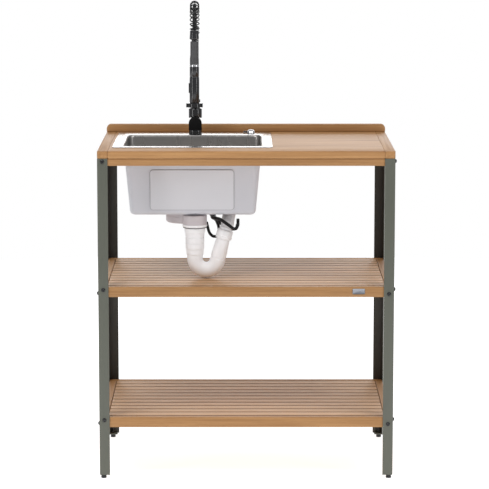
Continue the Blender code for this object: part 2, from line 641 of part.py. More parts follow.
plug_seat = WASTE_TOP - 0.001 + FIT_GAP
turned("strainer_plug", [
    (0.0, plug_seat + 0.011), (0.0055, plug_seat + 0.0095), (0.0040, plug_seat + 0.004),
    (PLUG_RADIUS - 0.003, plug_seat + 0.0035), (PLUG_RADIUS, plug_seat + 0.002), (PLUG_RADIUS, plug_seat),
    (0.0040, plug_seat), (0.0040, waste_low + 0.0055), (0.0, waste_low + 0.0055)],
    "steel", (WASTE_X, WASTE_Y, 0.0))

knob_foot = -KNOB_STEM_LENGTH
knob = turned("waste_knob", [
    (0.0, KNOB_HEIGHT), (KNOB_RADIUS * 0.5, KNOB_HEIGHT - 0.0008), (KNOB_RADIUS * 0.85, KNOB_HEIGHT - 0.003),
    (KNOB_RADIUS, 0.004), (KNOB_RADIUS, 0.0), (KNOB_STEM, 0.0), (KNOB_STEM, knob_foot), (0.0, knob_foot)],
    "chrome", (KNOB_X, KNOB_Y, TAP_SEAT))
pointer = boxes("knob_pointer", [((-KNOB_POINTER[0], -KNOB_POINTER[1] / 2, 0.0015),
                                  (0.0, KNOB_POINTER[1] / 2, 0.0015 + KNOB_POINTER[2]))])
apply_boolean(knob, "UNION", [add_cutter("knob_pointer", pointer, knob.location)])

# The cable drops from the knob behind the bowl, passes over the outlet and hangs in a loop before the waste.
cable_route = [
    (KNOB_X, KNOB_Y, TAP_SEAT + knob_foot - FIT_GAP), (KNOB_X, KNOB_Y, WORKTOP_HEIGHT - 0.050),
    (KNOB_X - 0.004, KNOB_Y - 0.002, WORKTOP_HEIGHT - 0.100)]
for x, y, z in ((0.152, 0.220, 0.0736), (0.116, 0.215, 0.0476), (0.088, 0.196, 0.0226),
                (0.076, 0.151, 0.0036), (0.082, 0.091, -0.0094), (0.089, 0.051, -0.0214),
                (0.090, 0.026, -0.0334),
                (0.085, 0.012, -0.0429), (0.075, 0.006, -0.0434), (0.066, 0.003, -0.0354),
                (0.0615, 0.001, -0.0244), (0.059, 0.0, -0.0134)):
    cable_route.append((WASTE_X + x, WASTE_Y + y, waste_low + z))
cable_route.append((WASTE_X + 0.056, WASTE_Y, waste_low - FIT_GAP - CABLE_RADIUS / 2))
cable_mesh = tube_mesh("waste_cable", smooth_route(cable_route, 0.0095), CABLE_RADIUS)
add_part("waste_cable", cable_mesh, "black_rubber")

# ------------------------------------------------------------------ trap
inlet_high = CUP_LOW - FIT_GAP
nut_step = inlet_high - UPPER_NUT[1]
inlet_low = nut_step - LOWER_NUT[1]
bend_inlet_top = inlet_low + TRAP_INSERT
turned("trap_inlet", [
    (TRAP_BORE, inlet_high), (UPPER_NUT[0], inlet_high), (UPPER_NUT[0], nut_step), (LOWER_NUT[0], nut_step),
    (LOWER_NUT[0], inlet_low), (TRAP_RADIUS + FIT_GAP, inlet_low),
    (TRAP_RADIUS + FIT_GAP, bend_inlet_top + FIT_GAP), (TRAP_BORE, bend_inlet_top + FIT_GAP)],
    "white_plastic", (CUP_X, CUP_Y, 0.0), closed=True)

bend_middle = (CUP_X + TRAP_BEND, MID_SHELF_TOP + TRAP_CLEARANCE + TRAP_RADIUS + TRAP_BEND)
bend_points = [(CUP_X, CUP_Y, bend_inlet_top)]
for x, z in arc(bend_middle, TRAP_BEND, 180, 360 - math.degrees(TRAP_LEAN), 14):
    bend_points.append((x, CUP_Y, z))
limb_direction = Vector((math.sin(TRAP_LEAN), 0.0, math.cos(TRAP_LEAN)))
limb_end = Vector(bend_points[-1]) + limb_direction * TRAP_LIMB
bend_points.append(tuple(limb_end))
trap = add_part("trap_bend", tube_mesh("trap_bend", bend_points, TRAP_RADIUS, detail=4, caps=False),
                "white_plastic")
hollow(trap, TRAP_WALL)

cuff_start = limb_end + limb_direction * FIT_GAP
cuff_end = cuff_start + limb_direction * CUFF_LENGTH
outlet_z = BOWL_FLOOR - SINK_STEEL - OUTLET_CLEARANCE - OUTLET_RADIUS
outlet_x = cuff_end.x
outlet_run = [cuff_end, (outlet_x + 0.003, CUP_Y + 0.004, cuff_end.z + 0.008),
              (outlet_x + 0.005, CUP_Y + 0.018, outlet_z - 0.004),
              (outlet_x + 0.006, CUP_Y + 0.042, outlet_z),
              (outlet_x + 0.008, 0.020, outlet_z), (outlet_x + 0.010, 0.120, outlet_z),
              (outlet_x + 0.010, HALF_DEPTH - OUTLET_END, outlet_z)]
outlet_points = [cuff_start] + smooth_route(outlet_run, 0.014)
outlet = add_part("outlet_tube", tube_mesh("outlet_tube", outlet_points, OUTLET_RADIUS, detail=2, caps=False),
                  "white_plastic")
hollow(outlet, TRAP_WALL)
cuff = rods("cuff", [(CUFF_RADIUS, cuff_start, cuff_end)], sides=20)
cuff_bore_radius = OUTLET_RADIUS - TRAP_WALL - FIT_GAP
cuff_bore = rods("cuff_bore", [(cuff_bore_radius, cuff_start - limb_direction * 0.01, cuff_end)], sides=12)
apply_boolean(outlet, "UNION", [add_cutter("cuff", cuff)])
apply_boolean(outlet, "DIFFERENCE", [add_cutter("cuff_bore", cuff_bore)])

# ------------------------------------------------------------------ tap
# The fixed body carries the lever's ring; the spout turns on the body's neck.
arch_z = LEVER_ARCH_CENTRE
neck_top = arch_z + TAP_RADIUS + 0.0010
turned("tap_body", [
    (0.0, neck_top), (TAP_NECK_RADIUS, neck_top), (TAP_NECK_RADIUS, TAP_BASE_HEIGHT),
    (TAP_RADIUS - 0.0008, TAP_BASE_HEIGHT), (TAP_RADIUS, TAP_BASE_HEIGHT - 0.0008), (TAP_RADIUS, 0.0),
    (TAP_SHANK_RADIUS, 0.0), (TAP_SHANK_RADIUS, -TAP_SHANK_LENGTH), (0.0, -TAP_SHANK_LENGTH)],
    "black_satin", (TAP_X, TAP_Y, TAP_SEAT))

nut = add_part("tap_nut", rods("tap_nut", [(NUT_RADIUS, (0.0, 0.0, -NUT_HEIGHT), (0.0, 0.0, 0.0))], sides=6),
               "steel", (TAP_X, TAP_Y, RIM_TOP - SINK_STEEL - 2 * FIT_GAP))
nut_bore = add_cutter("nut_bore", rods("nut_bore", [(TAP_SHANK_RADIUS + FIT_GAP, (0.0, 0.0, -0.02),
                                                     (0.0, 0.0, 0.02))], sides=24), nut.location)
apply_boolean(nut, "DIFFERENCE", [nut_bore])

ring_low = TAP_BASE_HEIGHT + FIT_GAP
ring_top = ring_low + LEVER_RING_HEIGHT
turned("lever_ring", [
    (TAP_NECK_RADIUS + FIT_GAP, ring_top), (TAP_RADIUS - 0.0008, ring_top), (TAP_RADIUS, ring_top - 0.0008),
    (TAP_RADIUS, ring_low), (TAP_NECK_RADIUS + FIT_GAP, ring_low)],
    "black_satin", (TAP_X, TAP_Y, TAP_SEAT), closed=True)

lever_outline = [(-TAP_RADIUS, -LEVER_PIN_RISE), (TAP_RADIUS, -LEVER_PIN_RISE)]
lever_outline += arc((0.0, arch_z - ring_low - LEVER_PIN_RISE), TAP_RADIUS, 0, 180, 12)
lever_mesh = outline_mesh("tap_lever", lever_outline, LEVER_THICKNESS)
lever_mesh.transform(Matrix.Rotation(math.pi / 2, 4, "X"))
lever_mesh.transform(Matrix.Translation((0.0, -LEVER_THICKNESS / 2, 0.0)))
add_part("tap_lever", lever_mesh, "black_satin",
         (TAP_X, TAP_Y - TAP_RADIUS - 2 * FIT_GAP, TAP_SEAT + ring_low + LEVER_PIN_RISE))

neck_socket = neck_top + FIT_GAP
spout = turned("spout_riser", [
    (0.0, RISER_TOP), (RISER_RADIUS, RISER_TOP), (RISER_RADIUS, SLEEVE_TOP + 0.004),
    (TAP_RADIUS - 0.001, SLEEVE_TOP), (TAP_RADIUS, SLEEVE_TOP - 0.001), (TAP_RADIUS, SLEEVE_LOW),
    (0.0, SLEEVE_LOW)],
    "black_satin", (TAP_X, TAP_Y, TAP_SEAT))
arch_rod = (TAP_RADIUS + ARCH_CLEARANCE, (0.0, -0.04, arch_z), (0.0, 0.04, arch_z))
arch_tool = add_cutter("arch", rods("arch", [arch_rod], sides=32), spout.location)
socket_tool = add_cutter("socket", rods("socket", [(TAP_NECK_RADIUS + FIT_GAP, (0.0, 0.0, 0.0),
                                                    (0.0, 0.0, neck_socket))], sides=24), spout.location)
apply_boolean(spout, "DIFFERENCE", [arch_tool, socket_tool])

dock_z = (WORKTOP_HEIGHT + DOCK_LOW, WORKTOP_HEIGHT + DOCK_LOW + DOCK_HEIGHT)
dock = add_part("docking_arm", rods("docking_arm", [
    (RISER_RADIUS + 0.004, (TAP_X, TAP_Y, dock_z[0]), (TAP_X, TAP_Y, dock_z[1]))], sides=20), "black_satin")
dock_ring = rods("dock_ring", [(DOCK_RING, (TAP_X, HEAD_Y, dock_z[0]), (TAP_X, HEAD_Y, dock_z[1]))], sides=24)
dock_bar = boxes("dock_bar", [((TAP_X - DOCK_BAR / 2, HEAD_Y, dock_z[0] + 0.001),
                               (TAP_X + DOCK_BAR / 2, TAP_Y, dock_z[1] - 0.001))])
dock_ears = boxes("dock_ears", [((TAP_X - DOCK_HALF_EARS, HEAD_Y - 0.006, dock_z[0] + 0.002),
                                 (TAP_X + DOCK_HALF_EARS, HEAD_Y + 0.006, dock_z[1] - 0.002))])
dock_bores = rods("dock_bores", [
    (RISER_RADIUS + FIT_GAP, (TAP_X, TAP_Y, dock_z[0] - 0.01), (TAP_X, TAP_Y, dock_z[1] + 0.01)),
    (HEAD_RADIUS + DOCK_CLEARANCE,
     (TAP_X, HEAD_Y, dock_z[0] - 0.01), (TAP_X, HEAD_Y, dock_z[1] + 0.01))], sides=24)
apply_boolean(dock, "UNION", [add_cutter("dock_ring", dock_ring), add_cutter("dock_bar", dock_bar),
                              add_cutter("dock_ears", dock_ears)])
way_reach = HEAD_RADIUS + BUTTON_PROUD + DOCK_CLEARANCE
way_half = BUTTON_WIDTH / 2 + DOCK_CLEARANCE
button_way = boxes("button_way", [((TAP_X - way_reach, HEAD_Y - way_half, dock_z[0] - 0.01),
                                   (TAP_X, HEAD_Y + way_half, dock_z[1] + 0.01))])
apply_boolean(dock, "DIFFERENCE", [add_cutter("dock_bores", dock_bores),
                                   add_cutter("button_way", button_way)])

arch_radius = SPOUT_REACH / 2
arch_centre_z = WORKTOP_HEIGHT + SPOUT_TOP - SPRING_RADIUS - arch_radius
spring_points = [(TAP_X, TAP_Y, TAP_SEAT + RISER_TOP + FIT_GAP)]
for y, z in arc((TAP_Y - arch_radius, arch_centre_z), arch_radius, 0, 180, 16):
    spring_points.append((TAP_X, y, z))
spring_points.append((TAP_X, HEAD_Y, WORKTOP_HEIGHT + HEAD_TOP + FIT_GAP))
add_part("spout_spring", tube_mesh("spout_spring", spring_points, SPRING_RADIUS), "black_satin")

# ------------------------------------------------------------------ spray head and its button
head_profile = [
    (0.0, HEAD_TOP), (0.0120, HEAD_TOP), (SPRING_RADIUS, HEAD_TOP - 0.001), (SPRING_RADIUS, HEAD_TOP - 0.024),
    (0.0115, HEAD_TOP - 0.026), (0.0118, HEAD_TOP - 0.032), (0.0126, HEAD_TOP - 0.098),
    (HEAD_RADIUS, HEAD_TOP - 0.140), (HEAD_RADIUS, HEAD_LOW + 0.002), (HEAD_RADIUS - 0.002, HEAD_LOW),
    (0.0, HEAD_LOW)]
head_seat = (TAP_X, HEAD_Y, WORKTOP_HEIGHT)
head = turned("spray_head", head_profile, "black_satin", head_seat)
button_outer = HEAD_RADIUS + BUTTON_PROUD
button_inner = button_outer - BUTTON_DEPTH
pocket = boxes("button_pocket", [((-button_outer - 0.01, -BUTTON_WIDTH / 2 - FIT_GAP, BUTTON_LOW - FIT_GAP),
                                  (0.0025 - button_inner, BUTTON_WIDTH / 2 + FIT_GAP,
                                   BUTTON_LOW + BUTTON_HEIGHT + FIT_GAP))])
apply_boolean(head, "DIFFERENCE", [add_cutter("button_pocket", pocket, head_seat)])
board("spray_button", (TAP_X - button_outer, HEAD_Y - BUTTON_WIDTH / 2, WORKTOP_HEIGHT + BUTTON_LOW),
      (TAP_X - button_inner, HEAD_Y + BUTTON_WIDTH / 2, WORKTOP_HEIGHT + BUTTON_LOW + BUTTON_HEIGHT),
      "black_satin", arris=0.001)

# ------------------------------------------------------------------ water supply pipe
pipe_start = TAP_SEAT - TAP_SHANK_LENGTH - FIT_GAP
pipe_route = [(TAP_X, TAP_Y, pipe_start)]
for x, drop in ((0.001, 0.042), (0.008, 0.102), (0.028, 0.157), (0.052, 0.192), (0.076, 0.212),
                (0.099, 0.224), (0.113, 0.224), (0.1205, 0.215), (0.1210, 0.205), (0.1210, 0.195)):
    pipe_route.append((TAP_X + x, TAP_Y, pipe_start - drop))
pipe_mesh = tube_mesh("supply_pipe", smooth_route(pipe_route, 0.010), PIPE_RADIUS)
add_part("supply_pipe", pipe_mesh, "black_rubber")
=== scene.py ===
"""The looks of a sink and potting bench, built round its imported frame: oiled hardwood boards and slats on
powder-coated steel angles, a pressed steel sink with its waste and trap, and a sprung pull-down tap."""

import math

import bmesh
import bpy
from mathutils import Matrix, Vector


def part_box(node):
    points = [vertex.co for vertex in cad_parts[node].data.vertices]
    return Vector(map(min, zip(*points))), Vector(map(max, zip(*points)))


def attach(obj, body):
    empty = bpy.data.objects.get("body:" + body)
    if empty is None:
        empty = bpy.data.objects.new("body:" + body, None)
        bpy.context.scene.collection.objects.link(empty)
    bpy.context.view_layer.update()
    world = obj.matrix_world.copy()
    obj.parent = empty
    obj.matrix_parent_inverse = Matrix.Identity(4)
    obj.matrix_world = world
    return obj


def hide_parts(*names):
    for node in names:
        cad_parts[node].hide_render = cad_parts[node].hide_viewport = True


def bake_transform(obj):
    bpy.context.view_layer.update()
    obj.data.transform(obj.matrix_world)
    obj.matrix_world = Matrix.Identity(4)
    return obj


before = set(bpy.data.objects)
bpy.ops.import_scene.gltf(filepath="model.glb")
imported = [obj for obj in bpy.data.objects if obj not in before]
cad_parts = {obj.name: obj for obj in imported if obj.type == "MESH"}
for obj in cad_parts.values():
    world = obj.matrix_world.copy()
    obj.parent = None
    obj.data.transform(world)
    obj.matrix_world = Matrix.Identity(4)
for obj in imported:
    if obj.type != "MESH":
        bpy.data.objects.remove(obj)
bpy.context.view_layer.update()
scene = bpy.context.scene

# ------------------------------------------------------------------ studio
# A white studio: a camera in front and a little above, a pale floor, and four soft boxes. What lies round the
# set is dimmer than the white that the camera sees behind the bench.
CAMERA_PLACE = Vector((-0.011, -6.635, 1.6445))
CAMERA_AIM = Vector((-0.0044, 0.0, 0.6084))
camera_data = bpy.data.cameras.new("camera")
camera_data.sensor_width = 36.0
camera_data.lens = 176.7
camera = bpy.data.objects.new("camera", camera_data)
camera.location = CAMERA_PLACE
camera.rotation_euler = (CAMERA_AIM - CAMERA_PLACE).to_track_quat("-Z", "Y").to_euler()
scene.collection.objects.link(camera)
scene.camera = camera
scene.view_settings.view_transform = "Standard"


def node(tree, kind, values=None, **settings):
    """Add a node with its settings; each socket gets a value, or a link from another node's output."""
    made = tree.nodes.new(kind)
    for key, value in settings.items():
        setattr(made, key, value)
    for key, value in (values or {}).items():
        if isinstance(value, bpy.types.NodeSocket):
            tree.links.new(value, made.inputs[key])
        else:
            made.inputs[key].default_value = value
    return made


world = bpy.data.worlds.new("studio")
scene.world = world
world.use_nodes = True
sky = world.node_tree
sky.nodes.clear()
seen = node(sky, "ShaderNodeBackground", {"Color": (1.0, 1.0, 1.0, 1.0), "Strength": 1.0})
round_the_set = node(sky, "ShaderNodeBackground", {"Color": (0.97, 0.98, 1.0, 1.0), "Strength": 0.37})
rays = node(sky, "ShaderNodeLightPath")
choose = node(sky, "ShaderNodeMixShader", {0: rays.outputs["Is Camera Ray"], 1: round_the_set.outputs[0],
                                           2: seen.outputs[0]})
node(sky, "ShaderNodeOutputWorld", {"Surface": choose.outputs[0]})


def soft_box(name, place, aim, size, power):
    """A rectangular studio light that faces a point."""
    light = bpy.data.lights.new(name, "AREA")
    light.shape = "RECTANGLE"
    light.size, light.size_y = size
    light.energy = power
    box = bpy.data.objects.new(name, light)
    box.location = place
    box.rotation_euler = (Vector(aim) - Vector(place)).to_track_quat("-Z", "Y").to_euler()
    scene.collection.objects.link(box)


soft_box("front_left_box", (-1.7, -2.0, 3.5), (0.0, 0.0, 0.6), (1.4, 1.4), 38.0)
soft_box("front_right_box", (1.9, -2.0, 3.4), (0.0, 0.0, 0.6), (1.4, 1.4), 30.0)
soft_box("top_box", (0.0, -0.9, 3.2), (0.0, 0.0, 0.5), (2.6, 1.2), 16.0)
soft_box("rear_box", (0.1, 3.0, 1.76), (0.0, 0.0, 0.9), (3.4, 1.1), 34.0)
soft_box("left_strip", (-2.4, -1.7, 0.8), (0.0, 0.0, 0.8), (0.34, 1.9), 11.0)
soft_box("right_strip", (2.4, -1.7, 0.8), (0.0, 0.0, 0.8), (0.34, 1.9), 10.0)

floor_bm = bmesh.new()
bmesh.ops.create_circle(floor_bm, cap_ends=True, segments=96, radius=3.6)
floor_mesh = bpy.data.meshes.new("floor")
floor_bm.to_mesh(floor_mesh)
floor_bm.free()
floor_paint = bpy.data.materials.new("pale_floor")
floor_paint.use_nodes = True
floor_shader = floor_paint.node_tree.nodes["Principled BSDF"]
floor_shader.inputs["Base Color"].default_value = (0.86, 0.86, 0.86, 1.0)
floor_shader.inputs["Roughness"].default_value = 0.9
floor_shader.inputs["Emission Color"].default_value = (1.0, 1.0, 1.0, 1.0)
floor_shader.inputs["Emission Strength"].default_value = 0.72
floor_mesh.materials.append(floor_paint)
floor = bpy.data.objects.new("floor", floor_mesh)
scene.collection.objects.link(floor)


# ------------------------------------------------------------------ worktop
# Planed hardwood boards: a wide one with the sink's cutout between two cross-grained ends, an upstand glued
# on along the back, and four aprons under them. The arrises are broken by hand and the wood is oiled.
def group_tree(name, inputs, outputs):
    """A node group with its sockets; each input is (name, type, value)."""
    tree = bpy.data.node_groups.new(name, "ShaderNodeTree")
    for label, kind, value in inputs:
        socket = tree.interface.new_socket(name=label, in_out="INPUT", socket_type="NodeSocket" + kind)
        if value is not None:
            socket.default_value = value
    for label, kind in outputs:
        tree.interface.new_socket(name=label, in_out="OUTPUT", socket_type="NodeSocket" + kind)
    return tree, tree.nodes.new("NodeGroupInput"), tree.nodes.new("NodeGroupOutput")


def wood_figure():
    """Grain that runs along X: broad bands, long streaks and fine pores, shifted from plank to plank."""
    tree, given, result = group_tree("wood_figure", [
        ("Vector", "Vector", None), ("Plank", "Float", 0.0), ("Pale", "Color", (0.5, 0.3, 0.15, 1.0)),
        ("Deep", "Color", (0.3, 0.15, 0.06, 1.0)), ("Figure", "Float", 1.0)], [
        ("Color", "Color"), ("Roughness", "Float"), ("Height", "Float")])
    plank = given.outputs["Plank"]
    steps = {axis: node(tree, "ShaderNodeMath", {0: plank, 1: share}, operation="MULTIPLY").outputs[0]
             for axis, share in (("X", 3.17), ("Y", 5.61), ("Z", 1.93))}
    shift = node(tree, "ShaderNodeCombineXYZ", steps)
    moved = node(tree, "ShaderNodeVectorMath", {0: given.outputs["Vector"], 1: shift.outputs[0]},
                 operation="ADD")

    def streak(stretch, scale, detail, roughness, distortion):
        squeeze = node(tree, "ShaderNodeMapping", {"Vector": moved.outputs[0], "Scale": stretch})
        noise = node(tree, "ShaderNodeTexNoise", {"Vector": squeeze.outputs[0], "Scale": scale,
                                                  "Detail": detail, "Roughness": roughness,
                                                  "Distortion": distortion})
        return noise.outputs["Fac"]

    bands = streak((0.55, 9.0, 9.0), 3.0, 3.0, 0.45, 1.2)
    streaks = streak((0.9, 42.0, 42.0), 4.0, 5.0, 0.6, 0.35)
    pores = streak((14.0, 420.0, 420.0), 3.0, 2.0, 0.5, 0.0)
    mixed = node(tree, "ShaderNodeMix", {0: 0.55, 2: bands, 3: streaks}, data_type="FLOAT")
    spread = node(tree, "ShaderNodeMapRange", {"Value": mixed.outputs[0], "From Min": 0.33, "From Max": 0.67})
    weaken = node(tree, "ShaderNodeMath", {0: spread.outputs[0], 1: given.outputs["Figure"]},
                  operation="MULTIPLY")
    body_colour = node(tree, "ShaderNodeMix", {0: weaken.outputs[0], 6: given.outputs["Pale"],
                                               7: given.outputs["Deep"]}, data_type="RGBA")
    plank_noise = node(tree, "ShaderNodeTexNoise", {"W": plank, "Scale": 1.0, "Detail": 0.0},
                       noise_dimensions="1D")
    plank_tone = node(tree, "ShaderNodeMapRange", {"Value": plank_noise.outputs["Fac"], "From Min": 0.2,
                                                  "From Max": 0.8, "To Min": 0.9, "To Max": 1.1})
    pore_tone = node(tree, "ShaderNodeMapRange", {"Value": pores, "From Min": 0.25, "From Max": 0.55,
                                                 "To Min": 0.86, "To Max": 1.0})
    tone = node(tree, "ShaderNodeMath", {0: plank_tone.outputs[0], 1: pore_tone.outputs[0]},
                operation="MULTIPLY")
    toned = node(tree, "ShaderNodeVectorMath", {0: body_colour.outputs[2], "Scale": tone.outputs[0]},
                 operation="SCALE")
    rough = node(tree, "ShaderNodeMapRange", {"Value": streaks, "To Min": 0.40, "To Max": 0.60})
    height = node(tree, "ShaderNodeMix", {0: 0.45, 2: streaks, 3: pores}, data_type="FLOAT")
    for made, label in ((toned, "Color"), (rough, "Roughness"), (height, "Height")):
        tree.links.new(made.outputs[0], result.inputs[label])
    return tree


WOOD_FIGURE = wood_figure()


def start_material(name, coat=0.0, specular=0.5):
    """A material with its shader, for one finish of the bench."""
    material = bpy.data.materials.new(name)
    material.use_nodes = True
    shader = material.node_tree.nodes["Principled BSDF"]
    shader.inputs["Coat Weight"].default_value = coat
    shader.inputs["Specular IOR Level"].default_value = specular
    return material, material.node_tree, shader


def lay_on(tree, shader, finish, strength, distance):
    """Give the surface a finish's colour and gloss, and its relief at a strength and depth."""
    bump = node(tree, "ShaderNodeBump", {"Strength": strength, "Distance": distance,
                                         "Height": finish.outputs["Height"]})
    tree.links.new(finish.outputs["Color"], shader.inputs["Base Color"])
    tree.links.new(finish.outputs["Roughness"], shader.inputs["Roughness"])
    tree.links.new(bump.outputs["Normal"], shader.inputs["Normal"])


def timber(name, pale, deep, figure, quarter_turn):
    """Oiled hardwood; a quarter turn lays its grain along Y."""
    material, tree, shader = start_material(name, specular=0.3)
    place = node(tree, "ShaderNodeTexCoord")
    lay = node(tree, "ShaderNodeMapping", {"Vector": place.outputs["Object"],
                                           "Rotation": (0.0, 0.0, math.radians(90.0 * quarter_turn))})
    plank = node(tree, "ShaderNodeAttribute", attribute_name="plank")
    grain = node(tree, "ShaderNodeGroup", node_tree=WOOD_FIGURE)
    for label, value in (("Pale", (*pale, 1.0)), ("Deep", (*deep, 1.0)), ("Figure", figure)):
        grain.inputs[label].default_value = value
    tree.links.new(lay.outputs[0], grain.inputs["Vector"])
    tree.links.new(plank.outputs["Fac"], grain.inputs["Plank"])
    lay_on(tree, shader, grain, 0.35, 0.0006)
    return material


BOARD_PALE, BOARD_DEEP = (0.48, 0.262, 0.108), (0.26, 0.122, 0.043)
BOARD_WOOD = {turn: timber("oiled_board_" + turn, BOARD_PALE, BOARD_DEEP, 0.8, turn == "across")
              for turn in ("along", "across")}


def soften(bm, width, segments=2, angle=40.0, edges=None):
    """Round the sharp edges of a shape."""
    if edges is None:
        edges = [edge for edge in bm.edges
                 if len(edge.link_faces) == 2 and edge.calc_face_angle(0.0) > math.radians(angle)]
    bmesh.ops.bevel(bm, geom=edges, offset=width, offset_type="OFFSET", segments=segments, profile=0.5,
                    affect="EDGES", material=-1, clamp_overlap=True)


def block(bm, low, high):
    """Add a box between two corners."""
    size = Vector(high) - Vector(low)
    middle = (Vector(high) + Vector(low)) / 2
    place = Matrix.Translation(middle) @ Matrix.Diagonal((*size, 1.0))
    return bmesh.ops.create_cube(bm, size=1.0, matrix=place)


def pull_faces(bm, faces, move):
    """Extrude faces, and move what comes out."""
    pulled = bmesh.ops.extrude_face_region(bm, geom=faces)["geom"]
    bmesh.ops.translate(bm, verts=[item for item in pulled if isinstance(item, bmesh.types.BMVert)], vec=move)


def add_piece(bm, name, body, materials, replaces=(), crease=35.0, recalculate=True):
    """Turn a shape into a finished piece that rides on a body of the frame."""
    bmesh.ops.remove_doubles(bm, verts=bm.verts, dist=1e-6)
    if recalculate:
        bmesh.ops.recalc_face_normals(bm, faces=bm.faces)
    mesh = bpy.data.meshes.new(name)
    bm.to_mesh(mesh)
    bm.free()
    for material in materials:
        mesh.materials.append(material)
    mesh.shade_smooth()
    mesh.set_sharp_from_angle(angle=math.radians(crease))
    piece = bpy.data.objects.new(name, mesh)
    scene.collection.objects.link(piece)
    if body:
        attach(piece, body)
    if replaces:
        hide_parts(*replaces)
    return piece


PLANK_COUNT = 0


def number_plank(piece):
    """Give a board its own stretch of the grain."""
    global PLANK_COUNT
    PLANK_COUNT += 1
    mark = piece.data.attributes.new("plank", "FLOAT", "POINT")
    mark.data.foreach_set("value", [1.37 * PLANK_COUNT] * len(piece.data.vertices))
    return piece


BOARD_ARRIS = 0.0017
APRON_ARRIS = 0.0019
END_CORNER = 0.005


def add_board(name, low, high, wood, replaces=(), arris=BOARD_ARRIS, gap_shade_wood=None):
    """A planed board with its arrises broken; its long narrow edges can take a dark wood, painted shade for
    the gaps between slats.
    """
    bm = bmesh.new()
    block(bm, low, high)
    soften(bm, arris, 3)
    if gap_shade_wood:
        # faces toward the next slat take the dark wood: painted shade in the gap
        for face in bm.faces:
            face.material_index = int(abs(face.normal.y) > 0.6)
    woods = [wood, gap_shade_wood] if gap_shade_wood else [wood]
    return number_plank(add_piece(bm, name, "root", woods, replaces))


low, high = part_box("worktop_board")
sink_low, sink_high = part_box("sink_bowl")
RIM_LIP = 0.014
bm = bmesh.new()
block(bm, low, high)
cuts = [((sink_low.x + RIM_LIP, 0, 0), (1, 0, 0)), ((sink_high.x - RIM_LIP, 0, 0), (1, 0, 0)),
        ((0, sink_low.y + RIM_LIP, 0), (0, 1, 0)), ((0, sink_high.y - RIM_LIP, 0), (0, 1, 0))]
for point, normal in cuts:
    bmesh.ops.bisect_plane(bm, geom=bm.verts[:] + bm.edges[:] + bm.faces[:], plane_co=point, plane_no=normal)
sink_middle = (sink_low + sink_high) / 2
inside = [face for face in bm.faces if abs(face.normal.z) > 0.9
          and (face.calc_center_median() - sink_middle).to_2d().length < 0.02]
bmesh.ops.delete(bm, geom=inside, context="FACES")
bmesh.ops.bridge_loops(bm, edges=[edge for edge in bm.edges if edge.is_boundary])
outer = [edge for edge in bm.edges if len(edge.link_faces) == 2 and edge.calc_face_angle(0.0) > 1.0
         and (abs(edge.verts[0].co.y) > high.y - 1e-5 or abs(edge.verts[0].co.x) > high.x - 1e-5)
         and (abs(edge.verts[1].co.y) > high.y - 1e-5 or abs(edge.verts[1].co.x) > high.x - 1e-5)]
soften(bm, BOARD_ARRIS, 3, edges=outer)
number_plank(add_piece(bm, "worktop", "root", [BOARD_WOOD["along"]], ["worktop_board"]))

for side, sign in (("left", -1), ("right", 1)):
    low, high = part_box("worktop_end_" + side)
    bm = bmesh.new()
    block(bm, low, high)
    outer_x = max(sign * low.x, sign * high.x) * sign
    corners = [edge for edge in bm.edges if all(abs(vert.co.x - outer_x) < 1e-6 for vert in edge.verts)
               and abs(edge.verts[0].co.z - edge.verts[1].co.z) > 0.01]
    soften(bm, END_CORNER, 6, edges=corners)
    soften(bm, BOARD_ARRIS, 3)
    number_plank(add_piece(bm, "worktop_cross_end_" + side, "root", [BOARD_WOOD["across"]],
                           ["worktop_end_" + side]))

UPSTAND_CORNER = 0.013
UPSTAND_ARRIS = 0.0018
low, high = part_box("rear_upstand")
bm = bmesh.new()
block(bm, low, high)
top_ends = [edge for edge in bm.edges if all(vert.co.z > high.z - 1e-6 for vert in edge.verts)
            and abs(edge.verts[0].co.y - edge.verts[1].co.y) > 0.01]
soften(bm, UPSTAND_CORNER, 8, edges=top_ends)
soften(bm, UPSTAND_ARRIS, 3)
number_plank(add_piece(bm, "upstand", "root", [BOARD_WOOD["along"]], ["rear_upstand"]))

for side in ("front", "rear", "left", "right"):
    low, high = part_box("apron_" + side)
    wood = BOARD_WOOD["along" if side in ("front", "rear") else "across"]
    add_board("worktop_apron_" + side, low, high, wood, ["apron_" + side], APRON_ARRIS)

# ------------------------------------------------------------------ shelves
# Each shelf is a frame of four rails bolted into the legs, with eleven slats screwed down to three battens
# from below. The slats are a paler, drier wood than the rails.
RAIL_THICKNESS = 0.020
RAIL_ARRIS = 0.0010
SLAT_COUNT = 11
SLAT_ARRIS = 0.0007
SLAT_GAP = 0.0050
SLAT_THICKNESS = 0.012
SLAT_END_GAP = 0.0020
BATTEN_WIDTH = 0.020
BATTEN_HEIGHT = 0.0122
AIR = 0.0003
SLAT_PALE, SLAT_DEEP = (0.62, 0.385, 0.215), (0.41, 0.24, 0.125)
SLAT_WOOD = timber("oiled_slat", SLAT_PALE, SLAT_DEEP, 0.85, False)
# dark wood for the slats' long edges: painted shade in the gaps between slats
SLAT_GAP_SHADE = timber("oiled_slat_gap_shade", (0.16, 0.085, 0.042), (0.09, 0.045, 0.022), 0.85, False)
BATTEN_WOOD = timber("oiled_batten", BOARD_PALE, BOARD_DEEP, 0.8, True)

